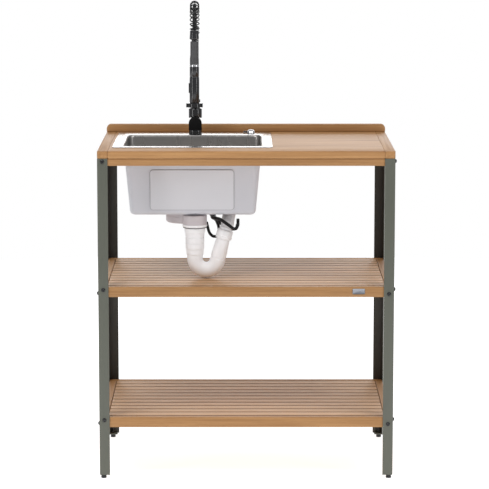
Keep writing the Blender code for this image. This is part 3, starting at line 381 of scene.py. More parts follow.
for shelf in ("mid_shelf", "lower_shelf"):
    low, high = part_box(shelf + "_frame")
    inner_x, inner_y = high.x - RAIL_THICKNESS, high.y - RAIL_THICKNESS
    frame_node, slats_node = [shelf + "_frame"], [shelf + "_slats"]
    for side, near, far in (("front", low.y, -inner_y), ("rear", inner_y, high.y)):
        add_board(shelf + "_" + side + "_rail", (low.x, near, low.z), (high.x, far, high.z),
                  BOARD_WOOD["along"], frame_node, RAIL_ARRIS)
    for side, near, far in (("left", low.x, -inner_x), ("right", inner_x, high.x)):
        add_board(shelf + "_" + side + "_rail", (near, AIR - inner_y, low.z), (far, inner_y - AIR, high.z),
                  BOARD_WOOD["across"], frame_node, RAIL_ARRIS)
    slat_width = (2 * inner_y - (SLAT_COUNT + 1) * SLAT_GAP) / SLAT_COUNT
    slat_end = inner_x - SLAT_END_GAP
    for index in range(SLAT_COUNT):
        start = SLAT_GAP - inner_y + index * (slat_width + SLAT_GAP)
        add_board(f"{shelf}_slat_{index + 1}", (-slat_end, start, high.z - SLAT_THICKNESS),
                  (slat_end, start + slat_width, high.z), SLAT_WOOD, slats_node,
                  SLAT_ARRIS, SLAT_GAP_SHADE)
    batten_top = high.z - SLAT_THICKNESS - AIR
    end_batten = inner_x - AIR - 0.001 - BATTEN_WIDTH / 2
    for label, middle in (("left", -end_batten), ("middle", 0.0), ("right", end_batten)):
        add_board(f"{shelf}_{label}_batten",
                  (middle - BATTEN_WIDTH / 2, AIR - inner_y, batten_top - BATTEN_HEIGHT),
                  (middle + BATTEN_WIDTH / 2, inner_y - AIR, batten_top), BATTEN_WOOD,
                  slats_node)


# ------------------------------------------------------------------ legs
# Four legs folded from 2 mm steel angle, closed at the bottom by a small plate. They are powder coated grey
# green; the faces inside the angle get a darker copy of the coat, which is painted shade.
def mottled_finish():
    """A finish that drifts a little in tone and gloss, with a fine relief."""
    tree, given, result = group_tree("mottled_finish", [
        ("Vector", "Vector", None), ("Colour", "Color", (0.5, 0.5, 0.5, 1.0)), ("Drift scale", "Float", 6.0),
        ("Drift", "Float", 0.1), ("Relief scale", "Float", 400.0), ("Rough low", "Float", 0.3),
        ("Rough high", "Float", 0.5)], [("Color", "Color"), ("Roughness", "Float"), ("Height", "Float")])
    put_in = given.outputs
    drift = node(tree, "ShaderNodeTexNoise", {"Vector": put_in["Vector"], "Scale": put_in["Drift scale"],
                                              "Detail": 4.0, "Roughness": 0.55})
    relief = node(tree, "ShaderNodeTexNoise", {"Vector": put_in["Vector"], "Scale": put_in["Relief scale"],
                                               "Detail": 2.0, "Roughness": 0.5})
    centred = node(tree, "ShaderNodeMath", {0: drift.outputs["Fac"], 1: 0.5}, operation="SUBTRACT")
    tone = node(tree, "ShaderNodeMath", {0: centred.outputs[0], 1: put_in["Drift"], 2: 1.0},
                operation="MULTIPLY_ADD")
    toned = node(tree, "ShaderNodeVectorMath", {0: put_in["Colour"], "Scale": tone.outputs[0]},
                 operation="SCALE")
    rough = node(tree, "ShaderNodeMapRange", {"Value": drift.outputs["Fac"], "From Min": 0.3, "From Max": 0.7,
                                             "To Min": put_in["Rough low"], "To Max": put_in["Rough high"]})
    tree.links.new(toned.outputs[0], result.inputs["Color"])
    tree.links.new(rough.outputs[0], result.inputs["Roughness"])
    tree.links.new(relief.outputs["Fac"], result.inputs["Height"])
    return tree


MOTTLED_FINISH = mottled_finish()


def plain_finish(name, colour, rough, drift=0.12, drift_scale=9.0, relief=(400.0, 0.12, 0.0004), metallic=0.0,
                 stretch=(1.0, 1.0, 1.0), coat=0.0, specular=0.5):
    """Paint, plastic, rubber or metal; relief is its scale, strength and depth, stretch its brushing."""
    material, tree, shader = start_material(name, coat, specular)
    shader.inputs["Metallic"].default_value = metallic
    place = node(tree, "ShaderNodeTexCoord")
    pull = node(tree, "ShaderNodeMapping", {"Vector": place.outputs["Object"], "Scale": stretch})
    finish = node(tree, "ShaderNodeGroup", node_tree=MOTTLED_FINISH)
    for label, value in (("Colour", (*colour, 1.0)), ("Drift scale", drift_scale), ("Drift", drift),
                         ("Relief scale", relief[0]), ("Rough low", rough[0]), ("Rough high", rough[1])):
        finish.inputs[label].default_value = value
    tree.links.new(pull.outputs[0], finish.inputs["Vector"])
    lay_on(tree, shader, finish, relief[1], relief[2])
    return material


LEG_FLANGE = 0.028
LEG_STEEL = 0.002
FOOT_PLATE = 0.0025
GREEN_COAT = plain_finish("grey_green_coat", (0.096, 0.101, 0.080), (0.42, 0.55), 0.10, 5.0,
                          (900.0, 0.25, 0.0004))
# a darker copy of the leg coat: painted shade inside the angle
PAINTED_SHADE_COAT = plain_finish("inner_painted_shade_coat", (0.030, 0.029, 0.023), (0.45, 0.60), 0.14, 5.0,
                          (900.0, 0.25, 0.0004))
CORNERS = {"front_left": (-1, -1, 0), "front_right": (1, -1, 90), "rear_right": (1, 1, 180),
           "rear_left": (-1, 1, 270)}

for corner, (side_x, side_y, quarter) in CORNERS.items():
    low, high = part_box("leg_" + corner)
    bm = bmesh.new()
    outline = [(0.0, 0.0), (LEG_FLANGE, 0.0), (LEG_FLANGE, LEG_STEEL), (LEG_STEEL, LEG_STEEL),
               (LEG_STEEL, LEG_FLANGE), (0.0, LEG_FLANGE)]
    section = bm.faces.new([bm.verts.new((x, y, low.z)) for x, y in outline])
    pull_faces(bm, [section], (0.0, 0.0, high.z - low.z))
    for at, radius in ((0.0, 0.0030), (LEG_STEEL, 0.0010)):
        fold = [edge for edge in bm.edges if all(abs(vert.co.x - at) < 1e-6 and abs(vert.co.y - at) < 1e-6
                                                 for vert in edge.verts)]
        soften(bm, radius, 5, edges=fold)
    soften(bm, 0.0003, 2, 60.0)
    block(bm, (LEG_STEEL, LEG_STEEL, low.z), (LEG_FLANGE - 0.004, LEG_FLANGE - 0.004, low.z + FOOT_PLATE))
    bmesh.ops.recalc_face_normals(bm, faces=bm.faces)
    # faces inside the angle take the darker copy of the coat: painted shade
    for face in bm.faces:
        middle = face.calc_center_median()
        facing_in = (face.normal.x > 0.3 and middle.x < 0.006) or (face.normal.y > 0.3 and middle.y < 0.006)
        face.material_index = int(facing_in)
    outer_corner = Vector((low.x if side_x < 0 else high.x, low.y if side_y < 0 else high.y, 0.0))
    turn = Matrix.Translation(outer_corner) @ Matrix.Rotation(math.radians(quarter), 4, "Z")
    bmesh.ops.transform(bm, matrix=turn, verts=bm.verts)
    add_piece(bm, "angle_leg_" + corner, "root", [GREEN_COAT, PAINTED_SHADE_COAT],
              ["leg_" + corner])


# ------------------------------------------------------------------ bolts
# Black button-head screws with a hexagon socket, five at each corner: they clamp the aprons and rails into
# the angle.
def turned(bm, profile, centre, sides=48):
    """Spin a profile of (radius, height) points about an upright axis."""
    verts = [bm.verts.new((centre[0] + radius, centre[1], height)) for radius, height in profile]
    edges = [bm.edges.new(pair) for pair in zip(verts, verts[1:])]
    bmesh.ops.spin(bm, geom=verts + edges, cent=(centre[0], centre[1], 0.0), axis=(0.0, 0.0, 1.0),
                   angle=2 * math.pi, steps=sides, use_merge=True, use_duplicate=False)
    bmesh.ops.remove_doubles(bm, verts=bm.verts, dist=1e-6)
    return bm


def arc(middle_x, middle_z, radius, start, end, count):
    """Points on an arc of a profile, from one angle to another in degrees."""
    angles = [math.radians(start + (end - start) * step / count) for step in range(count + 1)]
    return [(middle_x + radius * math.cos(angle), middle_z + radius * math.sin(angle)) for angle in angles]


BOLT_HEAD_HEIGHT = 0.0042
BOLT_HEAD_RADIUS = 0.0056
BOLT_SOCKET = 0.0019
BOLT_BLACK = plain_finish("blacked_bolt", (0.007, 0.007, 0.008), (0.10, 0.18), 0.2, 60.0,
                          (900.0, 0.05, 0.0002))


def bolt_shape():
    """A button-head screw along Z with its seat at the origin."""
    bm = bmesh.new()
    dome = [(BOLT_HEAD_RADIUS * x, BOLT_HEAD_HEIGHT * z) for x, z in arc(0.0, 0.0, 1.0, 62, 8, 8)]
    profile = [(0.0, 0.0018), (BOLT_SOCKET, 0.0018), (BOLT_SOCKET, dome[0][1] - 0.0003)] + dome
    profile += [(BOLT_HEAD_RADIUS, 0.0), (0.003, 0.0), (0.003, -0.0165), (0.0025, -0.017), (0.0, -0.017)]
    turned(bm, profile, (0.0, 0.0), 24)
    for vert in bm.verts:
        reach = vert.co.to_2d().length
        if abs(reach - BOLT_SOCKET) < 1e-5:
            sixth = math.atan2(vert.co.y, vert.co.x) % (math.pi / 3) - math.pi / 6
            grow = math.cos(math.pi / 6) / math.cos(sixth) * 1.1
            vert.co.x *= grow
            vert.co.y *= grow
    return bm


for corner in CORNERS:
    for label in ("top", "mid_a", "mid_b", "low_a", "low_b"):
        bolt_node = "bolt_" + corner + "_" + label
        low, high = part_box(bolt_node)
        middle, size = (low + high) / 2, high - low
        axis = 0 if size.x > size.y else 1
        outwards = Vector((0.0, 0.0, 0.0))
        outwards[axis] = math.copysign(1.0, middle[axis])
        seat = middle.copy()
        seat[axis] += outwards[axis] * (size[axis] / 2 - BOLT_HEAD_HEIGHT)
        bm = bolt_shape()
        place = Matrix.Translation(seat) @ outwards.to_track_quat("Z", "Y").to_matrix().to_4x4()
        bmesh.ops.transform(bm, matrix=place, verts=bm.verts)
        add_piece(bm, "button_" + bolt_node, "root", [BOLT_BLACK], [bolt_node], 50.0)

# ------------------------------------------------------------------ levelling feet
# Small moulded feet on a threaded stud, screwed up into the plate of each leg.
FOOT_TOP = 0.0097
THREAD_TURNS = 12
FOOT_BLACK = plain_finish("foot_plastic", (0.020, 0.020, 0.021), (0.45, 0.6), 0.2, 40.0, (700.0, 0.2, 0.0003))
for corner in CORNERS:
    low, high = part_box("foot_" + corner)
    centre = ((low.x + high.x) / 2, (low.y + high.y) / 2)
    radius = (high.x - low.x) / 2
    thread = []
    for step in range(THREAD_TURNS):
        rise = FOOT_TOP + (high.z - FOOT_TOP - 0.001) * step / THREAD_TURNS
        thread += [(0.0030, rise + 0.0002), (0.0026, rise + 0.0011)]
    profile = [(0.0, 0.0), (radius - 0.0010, 0.0), (radius, 0.0010), (radius, 0.0038),
               (radius - 0.0006, 0.0046), (radius - 0.0006, 0.0058), (radius, 0.0066),
               (radius, FOOT_TOP - 0.0016), (radius - 0.0014, FOOT_TOP), (0.0034, FOOT_TOP)]
    profile += thread + [(0.0020, high.z), (0.0, high.z)]
    bm = turned(bmesh.new(), profile, centre, 32)
    add_piece(bm, "levelling_foot_" + corner, corner + "_foot", [FOOT_BLACK],
              ["foot_" + corner])

# ------------------------------------------------------------------ name plate
# A blank plate of brushed alloy with a rolled edge, glued to the front rail near the right leg.
PLATE_METAL = plain_finish("brushed_alloy", (0.30, 0.31, 0.34), (0.22, 0.36), 0.12, 14.0,
                           (90.0, 0.2, 0.0002), 1.0, (1.0, 30.0, 30.0))
low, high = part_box("name_plate")
bm = bmesh.new()
block(bm, low, high)
plate_corners = [edge for edge in bm.edges if abs(edge.verts[0].co.y - edge.verts[1].co.y) > 0.0005]
soften(bm, 0.0015, 4, edges=plate_corners)
front = [face for face in bm.faces if face.normal.y < -0.9]
bmesh.ops.inset_region(bm, faces=front, thickness=0.0012)
bmesh.ops.translate(bm, verts=list({vert for face in front for vert in face.verts}), vec=(0.0, 0.0003, 0.0))
add_piece(bm, "blank_name_plate", "root", [PLATE_METAL], ["name_plate"], 25.0)


# ------------------------------------------------------------------ sink
# One sheet of satin stainless steel pressed into a drop-in bowl with a ledge for the tap at its back. Its
# underside is sprayed with a light grey damping coat, and a thick pad of it is stuck on the front.
RIM_SIZE = (0.436, 0.380)
RIM_CORNER = 0.014
BOWL_SIZE = (0.384, 0.285)
BOWL_CENTRE = (-0.146, -0.0075)
BOWL_CORNER = 0.024
BOWL_DRAFT = 0.0155
MOUTH_ROLL = 0.0050
MOUTH_DROP = 0.0090
FLOOR_ROLL = 0.012
SINK_STEEL_THICKNESS = 0.001
WASTE_HOLE = 0.040
SATIN_STEEL = plain_finish("satin_steel", (0.35, 0.335, 0.32), (0.24, 0.36), 0.08, 7.0,
                           (60.0, 0.05, 0.0003), 1.0, (14.0, 14.0, 0.7))
# a brighter copy of the bowl steel for the ledge: painted highlight
RIM_SHEEN_STEEL = plain_finish("rim_steel_painted_sheen", (0.56, 0.55, 0.54), (0.16, 0.26), 0.10, 7.0, (60.0, 0.06, 0.0003), 1.0,
                         (0.7, 14.0, 14.0))
DAMPING_COAT = plain_finish("damping_coat", (0.60, 0.60, 0.640), (0.55, 0.7), 0.08, 6.0,
                            (500.0, 0.35, 0.0006))


def rounded_ring(bm, centre, half, radius, height, segments=8):
    """The edge loop of a level rounded rectangle."""
    place = Matrix.Translation((*centre, height)) @ Matrix.Diagonal((*half, 1.0, 1.0))
    verts = bmesh.ops.create_grid(bm, x_segments=1, y_segments=1, size=1.0, matrix=place)["verts"]
    rounded = bmesh.ops.bevel(bm, geom=verts, offset=radius, offset_type="OFFSET", segments=segments,
                              profile=0.5, affect="VERTICES", material=-1, clamp_overlap=True)
    face = max((face for vert in rounded["verts"] for face in vert.link_faces), key=lambda f: len(f.verts))
    edges = list(face.edges)
    bmesh.ops.delete(bm, geom=[face], context="FACES_ONLY")
    return edges


def rounded_sheet(bm, rings):
    """Pull a sheet through level rounded rectangles; each is (centre, half sizes, corner radius, height)."""
    edges = rounded_ring(bm, *rings[0])
    centre, half, radius, height = rings[0]
    marks = {}
    for vert in {vert for edge in edges for vert in edge.verts}:
        side_x, side_y = (math.copysign(1.0, vert.co[axis] - centre[axis]) for axis in (0, 1))
        angle = math.atan2(vert.co.y - centre[1] - side_y * (half[1] - radius),
                           vert.co.x - centre[0] - side_x * (half[0] - radius))
        marks[vert] = (side_x, side_y, angle)
    for centre, half, radius, height in rings[1:]:
        marks_by_place = {vert.co.to_tuple(6): mark for vert, mark in marks.items()}
        pulled = bmesh.ops.extrude_edge_only(bm, edges=edges)["geom"]
        ring = {item for item in pulled if isinstance(item, bmesh.types.BMVert)}
        edges = [item for item in pulled
                 if isinstance(item, bmesh.types.BMEdge) and set(item.verts) <= ring]
        marks = {vert: marks_by_place[vert.co.to_tuple(6)] for vert in ring}
        for vert, (side_x, side_y, angle) in marks.items():
            vert.co = (centre[0] + side_x * (half[0] - radius) + radius * math.cos(angle),
                       centre[1] + side_y * (half[1] - radius) + radius * math.sin(angle), height)


rim_centre = ((sink_low.x + sink_high.x) / 2, (sink_low.y + sink_high.y) / 2)
rim_top = sink_high.z
bowl_floor = sink_low.z + SINK_STEEL_THICKNESS
wall_top = rim_top - MOUTH_DROP
wall_low = bowl_floor + FLOOR_ROLL
bm = bmesh.new()
rings = []
for inset, drop in ((0.0, 0.0010), (0.0006, 0.0004), (0.0018, 0.0001), (0.0035, 0.0)):
    half = (RIM_SIZE[0] / 2 - inset, RIM_SIZE[1] / 2 - inset)
    rings.append((rim_centre, half, RIM_CORNER - inset, rim_top - drop))
mouth = (BOWL_SIZE[0] / 2, BOWL_SIZE[1] / 2)
levels = [(0.0, rim_top)]
for step in range(1, 7):
    angle = math.radians(15.0 * step)
    levels.append((MOUTH_ROLL * math.sin(angle), rim_top - MOUTH_DROP * (1 - math.cos(angle))))
foot = MOUTH_ROLL + BOWL_DRAFT
for share in (0.25, 0.5, 0.75, 1.0):
    levels.append((MOUTH_ROLL + BOWL_DRAFT * share, wall_top + (wall_low - wall_top) * share))
for step in range(1, 7):
    angle = math.radians(15.0 * step)
    levels.append((foot + FLOOR_ROLL * (1 - math.cos(angle)), wall_low - FLOOR_ROLL * math.sin(angle)))
for inset, level in levels:
    tighter = BOWL_CORNER - 0.6 * inset
    rings.append((BOWL_CENTRE, (mouth[0] - inset, mouth[1] - inset), tighter, level))
waste_low, waste_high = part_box("strainer_plug")
waste_x, waste_y = (waste_low.x + waste_high.x) / 2, (waste_low.y + waste_high.y) / 2
flat = foot + FLOOR_ROLL + 0.0015
rings.append((BOWL_CENTRE, (mouth[0] - flat, mouth[1] - flat), BOWL_CORNER - 0.6 * flat, bowl_floor))
for radius in (WASTE_HOLE + 0.004, WASTE_HOLE):
    rings.append(((waste_x, waste_y), (radius, radius), radius, bowl_floor))
rounded_sheet(bm, rings)
bmesh.ops.remove_doubles(bm, verts=bm.verts, dist=1e-6)
bmesh.ops.recalc_face_normals(bm, faces=bm.faces)
if sum(face.normal.z * face.calc_area() for face in bm.faces) < 0:
    bmesh.ops.reverse_faces(bm, faces=bm.faces)
# faces on the ledge take the brighter steel: painted highlight
for face in bm.faces:
    face.material_index = 2 * int(face.calc_center_median().z > rim_top - 0.0012)
sink = add_piece(bm, "pressed_sink", "root", [SATIN_STEEL, DAMPING_COAT, RIM_SHEEN_STEEL, DAMPING_COAT],
                 ["sink_bowl"], 50.0, False)
sheet = sink.modifiers.new("sheet", "SOLIDIFY")
sheet.thickness = SINK_STEEL_THICKNESS
sheet.offset = -1.0
sheet.use_even_offset = True
sheet.material_offset = 1

PAD_CORNER = 0.009
PAD_HALF_HEIGHT = 0.0565
PAD_THICKNESS = 0.0019
PAD_SUNK = 0.0010
PAD_BEAD = 0.0011
low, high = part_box("sound_pad")
lean = math.atan2(BOWL_DRAFT, wall_top - wall_low)
pad_half = ((high.x - low.x) / 2, PAD_HALF_HEIGHT)
bm = bmesh.new()
edges = rounded_ring(bm, (0.0, 0.0), pad_half, PAD_CORNER, 0.0, 6)
bmesh.ops.contextual_create(bm, geom=edges)
pull_faces(bm, bm.faces[:], (0.0, 0.0, PAD_THICKNESS))
bmesh.ops.recalc_face_normals(bm, faces=bm.faces)
soften(bm, PAD_BEAD, 3)
# the pad's small side faces take a dark grey: painted shade round its step
for face in bm.faces:
    face.material_index = int(face.calc_area() < 0.005)
middle = (low + high) / 2
lay = Matrix.Translation(middle) @ Matrix.Rotation(math.pi / 2 + lean, 4, "X")
bmesh.ops.transform(bm, matrix=lay @ Matrix.Translation((0.0, 0.0, -PAD_SUNK)), verts=bm.verts)
PAD_RUBBER = plain_finish("pad_rubber", (0.66, 0.66, 0.695), (0.5, 0.65), 0.05, 8.0, (420.0, 0.3, 0.0005))
# dark grey for the pad's edge: a painted shade line
PAD_EDGE_SHADE = plain_finish("pad_edge_painted_shade", (0.22, 0.21, 0.22), (0.6, 0.75), 0.05, 8.0, (420.0, 0.3, 0.0005))
add_piece(bm, "damping_pad", "root", [PAD_RUBBER, PAD_EDGE_SHADE], ["sound_pad"], 45.0)

# ------------------------------------------------------------------ waste and its strainer plug
# A moulded white waste body hangs under the bowl, clamped by a steel flange; its plug lifts by the cable from
# the rim knob.
WHITE_PLASTIC = plain_finish("white_moulding", (0.93, 0.92, 0.93), (0.28, 0.42), 0.05, 18.0,
                             (300.0, 0.08, 0.0003), coat=0.15)
POLISHED_STEEL = plain_finish("polished_steel", (0.62, 0.62, 0.63), (0.14, 0.26), 0.1, 20.0,
                              (160.0, 0.06, 0.0002), 1.0)
GREY_PLASTIC = plain_finish("grey_moulding", (0.56, 0.51, 0.525), (0.30, 0.45), 0.08, 18.0,
                            (300.0, 0.10, 0.0003))
WASTE_BODY_RADIUS = 0.0555
WASTE_BODY_HEIGHT = 0.0266
CUP_OFFSET = (0.025, -0.047)
CUP_RADIUS = 0.033
low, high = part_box("waste_body")
body_top = bowl_floor - SINK_STEEL_THICKNESS - 0.0006
body_low = body_top - WASTE_BODY_HEIGHT
flange_low = bowl_floor + 0.0004
bm = turned(bmesh.new(), [(0.0, body_top - 0.006), (0.034, body_top - 0.006), (0.034, body_top)]
            + [(WASTE_BODY_RADIUS - 0.002, body_top)]
            + arc(WASTE_BODY_RADIUS - 0.002, body_top - 0.002, 0.002, 80, 0, 4)
            + [(WASTE_BODY_RADIUS, body_top - 0.0075), (WASTE_BODY_RADIUS - 0.0008, body_top - 0.0080),
               (WASTE_BODY_RADIUS - 0.0008, body_top - 0.0090), (WASTE_BODY_RADIUS, body_top - 0.0095)]
            + arc(WASTE_BODY_RADIUS - 0.005, body_low + 0.005, 0.005, 0, -90, 7) + [(0.0, body_low)],
            (waste_x, waste_y), 72)
add_piece(bm, "waste_moulding", "root", [GREY_PLASTIC], ["waste_body"], 40.0)

cup_x, cup_y = waste_x + CUP_OFFSET[0], waste_y + CUP_OFFSET[1]
cup_low = low.z
bm = turned(bmesh.new(), [(0.0, body_top - 0.002), (CUP_RADIUS - 0.003, body_top - 0.002)]
            + arc(CUP_RADIUS - 0.003, body_top - 0.005, 0.003, 90, 0, 5)
            + [(CUP_RADIUS, cup_low + 0.0075), (CUP_RADIUS + 0.0010, cup_low + 0.0068),
               (CUP_RADIUS + 0.0010, cup_low + 0.0030), (CUP_RADIUS, cup_low + 0.0022),
               (CUP_RADIUS - 0.0012, cup_low + 0.0003), (0.017, cup_low + 0.0003), (0.017, cup_low + 0.004),
               (0.0, cup_low + 0.004)], (cup_x, cup_y), 64)
for face in bm.faces:
    face.material_index = int(face.calc_center_median().z < cup_low + 0.0075)
add_piece(bm, "waste_cup", "root", [GREY_PLASTIC, WHITE_PLASTIC], ["waste_body"], 40.0)

GASKET_RUBBER = plain_finish("gasket_rubber", (0.030, 0.029, 0.032), (0.5, 0.62), 0.1, 60.0,
                             (600.0, 0.15, 0.0002))
bm = turned(bmesh.new(), [(0.0300, cup_low + 0.0006), (0.0322, cup_low + 0.0004), (0.0326, cup_low - 0.0006),
                          (0.0322, cup_low - 0.0016), (0.0300, cup_low - 0.0018), (0.0300, cup_low + 0.0006)],
            (cup_x, cup_y), 64)
add_piece(bm, "cup_gasket", "root", [GASKET_RUBBER], (), 40.0)

bm = turned(bmesh.new(), [(0.0370, bowl_floor - 0.0012), (0.0370, flange_low + 0.0006)]
            + arc(0.0385, flange_low + 0.0004, 0.0012, 150, 60, 4)
            + [(0.0435, flange_low + 0.0007), (0.0440, flange_low + 0.0001), (0.0395, flange_low)]
            + [(0.0393, bowl_floor - 0.0012), (0.0370, bowl_floor - 0.0012)], (waste_x, waste_y), 64)
add_piece(bm, "waste_flange", "root", [POLISHED_STEEL], (), 40.0)

PLUG_HEIGHT = 0.011
low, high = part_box("strainer_plug")
plug_seat = high.z - PLUG_HEIGHT
bm = turned(bmesh.new(), [(0.0, high.z - 0.0002), (0.0030, high.z - 0.0004), (0.0052, high.z - 0.0014),
                          (0.0055, high.z - 0.0026), (0.0038, high.z - 0.0042), (0.0036, plug_seat + 0.0052)]
            + arc(0.0100, plug_seat + 0.0100, 0.0064, 228, 270, 5)
            + [(0.0310, plug_seat + 0.0034), (0.0335, plug_seat + 0.0034)]
            + arc(0.0342, plug_seat + 0.0020, 0.0014, 80, 0, 4)
            + [(0.0356, plug_seat + 0.0003), (0.0040, plug_seat + 0.0003), (0.0040, low.z), (0.0, low.z)],
            (waste_x, waste_y), 72)
add_piece(bm, "lift_plug", "plug", [POLISHED_STEEL], ["strainer_plug"], 40.0)


# ------------------------------------------------------------------ trap
# Push-fit white plumbing: two slip nuts, a swept U bend that leans to the right, a ribbed cuff, and a
# corrugated tube that goes back under the bowl to the drain.
def sweep(bm, path, radii, sides, caps=True):
    """Pull a ring along a path: each ring is extruded from the last and scaled to its own radius."""
    path = [Vector(point) for point in path]
    side = (path[1] - path[0]).orthogonal().normalized()
    edges, last = [], None
    for index, point in enumerate(path):
        ahead = path[min(index + 1, len(path) - 1)] - path[max(index - 1, 0)]
        forward = ahead.normalized()
        side = (side - forward * side.dot(forward)).normalized()
        turn = Matrix((side, forward.cross(side), forward)).transposed().to_4x4()
        place = Matrix.Translation(point) @ turn @ Matrix.Diagonal((radii[index], radii[index], 1.0, 1.0))
        if last is None:
            ring = bmesh.ops.create_circle(bm, cap_ends=caps, segments=sides, radius=1.0,
                                           matrix=place)["verts"]
            edges = list({edge for vert in ring for edge in vert.link_edges})
        else:
            pulled = bmesh.ops.extrude_edge_only(bm, edges=edges)["geom"]
            ring = [item for item in pulled if isinstance(item, bmesh.types.BMVert)]
            edges = [item for item in pulled if isinstance(item, bmesh.types.BMEdge)]
            edges = [edge for edge in edges if edge.verts[0] in ring and edge.verts[1] in ring]
            bmesh.ops.transform(bm, matrix=place @ last.inverted(), verts=ring)
        last = place
    if caps:
        bmesh.ops.contextual_create(bm, geom=edges)


def smooth_path(points, spacing):
    """Points at an even spacing on a smooth curve through the route's own points."""
    knots = [Vector(point) for point in points]
    knots = [2 * knots[0] - knots[1]] + knots + [2 * knots[-1] - knots[-2]]
    fine = []
    for a, b, c, d in zip(knots, knots[1:], knots[2:], knots[3:]):
        for step in range(24):
            t = step / 24
            fine.append(0.5 * (2 * b + (c - a) * t + (2 * a - 5 * b + 4 * c - d) * t * t
                               + (3 * b - a - 3 * c + d) * t ** 3))
    fine.append(knots[-2])
    length = sum((q - p).length for p, q in zip(fine, fine[1:]))
    count = max(2, round(length / spacing))
    route, travelled, target = [fine[0]], 0.0, length / count
    for p, q in zip(fine, fine[1:]):
        step = (q - p).length
        while travelled + step >= target and len(route) < count:
            route.append(p.lerp(q, (target - travelled) / step))
            target += length / count
        travelled += step
    return route + [fine[-1]]


inlet_low, inlet_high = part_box("trap_inlet")
NUT_STEP = inlet_high.z - 0.0149
bm = turned(bmesh.new(), [(0.018, inlet_high.z), (0.0286, inlet_high.z), (0.0293, inlet_high.z - 0.0007),
                          (0.0293, inlet_high.z - 0.0030), (0.0284, inlet_high.z - 0.0038),
                          (0.0284, NUT_STEP + 0.0022), (0.0278, NUT_STEP), (0.018, NUT_STEP),
                          (0.018, inlet_high.z)], (cup_x, cup_y), 72)
add_piece(bm, "upper_slip_nut", "root", [WHITE_PLASTIC], ["trap_inlet"], 35.0)

LOWER_NUT = 0.0258
GROOVES = (0.0132, 0.0290)
profile = [(0.0222, NUT_STEP - 0.0002), (LOWER_NUT - 0.0008, NUT_STEP - 0.0002),
           (LOWER_NUT, NUT_STEP - 0.001)]
for groove in GROOVES:
    at = NUT_STEP - groove
    profile += [(LOWER_NUT, at + 0.0014), (LOWER_NUT - 0.0020, at + 0.0008),
                (LOWER_NUT - 0.0020, at - 0.0006), (LOWER_NUT - 0.0002, at - 0.0012)]
profile += [(LOWER_NUT - 0.0004, inlet_low.z + 0.0016), (LOWER_NUT - 0.0018, inlet_low.z),
            (0.0222, inlet_low.z), (0.0222, NUT_STEP - 0.0002)]
bm = turned(bmesh.new(), profile, (cup_x, cup_y), 72)
add_piece(bm, "lower_slip_nut", "root", [WHITE_PLASTIC], ["trap_inlet"], 35.0)

TRAP_RADIUS = 0.0215
TRAP_BEND = 0.031
TRAP_LEAN = 15.0
TRAP_LIMB = 0.066
bend_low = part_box("trap_bend")[0]
bend_x, bend_z = cup_x + TRAP_BEND, bend_low.z + TRAP_RADIUS + TRAP_BEND
limb_direction = Vector((math.sin(math.radians(TRAP_LEAN)), 0.0, math.cos(math.radians(TRAP_LEAN))))
path = [(cup_x, cup_y, inlet_low.z + 0.027 - step * 0.003) for step in range(9)]
radii = [TRAP_RADIUS] * len(path)
# the socket under the nut swells, and steps back to the bend at its seam
for rise, radius in ((0.0010, TRAP_RADIUS), (-0.0006, TRAP_RADIUS + 0.0024), (-0.0140, TRAP_RADIUS + 0.0020),
                     (-0.0155, TRAP_RADIUS + 0.0004)):
    path.append((cup_x, cup_y, inlet_low.z + rise))
    radii.append(radius)
sweep_end = 360.0 - TRAP_LEAN
for x, z in arc(bend_x, bend_z, TRAP_BEND, 180.0, sweep_end, 40):
    if z < path[-1][2] - 0.0005 or x > cup_x + 0.002:
        path.append((x, cup_y, z))
        radii.append(TRAP_RADIUS)
limb_foot = Vector(path[-1])
for share, radius in ((0.10, TRAP_RADIUS), (0.13, TRAP_RADIUS), (0.145, TRAP_RADIUS - 0.0011),
                      (0.175, TRAP_RADIUS - 0.0011), (0.19, TRAP_RADIUS - 0.0004),
                      (0.5, TRAP_RADIUS - 0.0012), (0.8, TRAP_RADIUS - 0.0024),
                      (0.97, TRAP_RADIUS - 0.0032), (1.0, TRAP_RADIUS - 0.0040)):
    path.append(limb_foot + limb_direction * (TRAP_LIMB * share))
    radii.append(radius)
limb_end = Vector(path[-1])
bm = bmesh.new()
sweep(bm, path, radii, 56)
add_piece(bm, "trap_u_bend", "root", [WHITE_PLASTIC], ["trap_bend"], 32.0)

CUFF_RADIUS = 0.0225
CUFF_LENGTH = 0.026
cuff_start = limb_end + limb_direction * AIR
path, radii = [], []
for along, radius in ((0.0, 0.0185), (0.0001, CUFF_RADIUS - 0.0012), (0.0010, CUFF_RADIUS - 0.0002),
                      (0.0030, CUFF_RADIUS), (0.0070, CUFF_RADIUS), (0.0078, CUFF_RADIUS - 0.0010),
                      (0.0098, CUFF_RADIUS - 0.0010), (0.0106, CUFF_RADIUS - 0.0002),
                      (0.0225, CUFF_RADIUS - 0.0008), (0.0245, CUFF_RADIUS - 0.0020),
                      (CUFF_LENGTH, CUFF_RADIUS - 0.0042)):
    path.append(cuff_start + limb_direction * along)
    radii.append(radius)
bm = bmesh.new()
sweep(bm, path, radii, 48)
add_piece(bm, "outlet_cuff", "root", [WHITE_PLASTIC], ["outlet_tube"], 35.0)

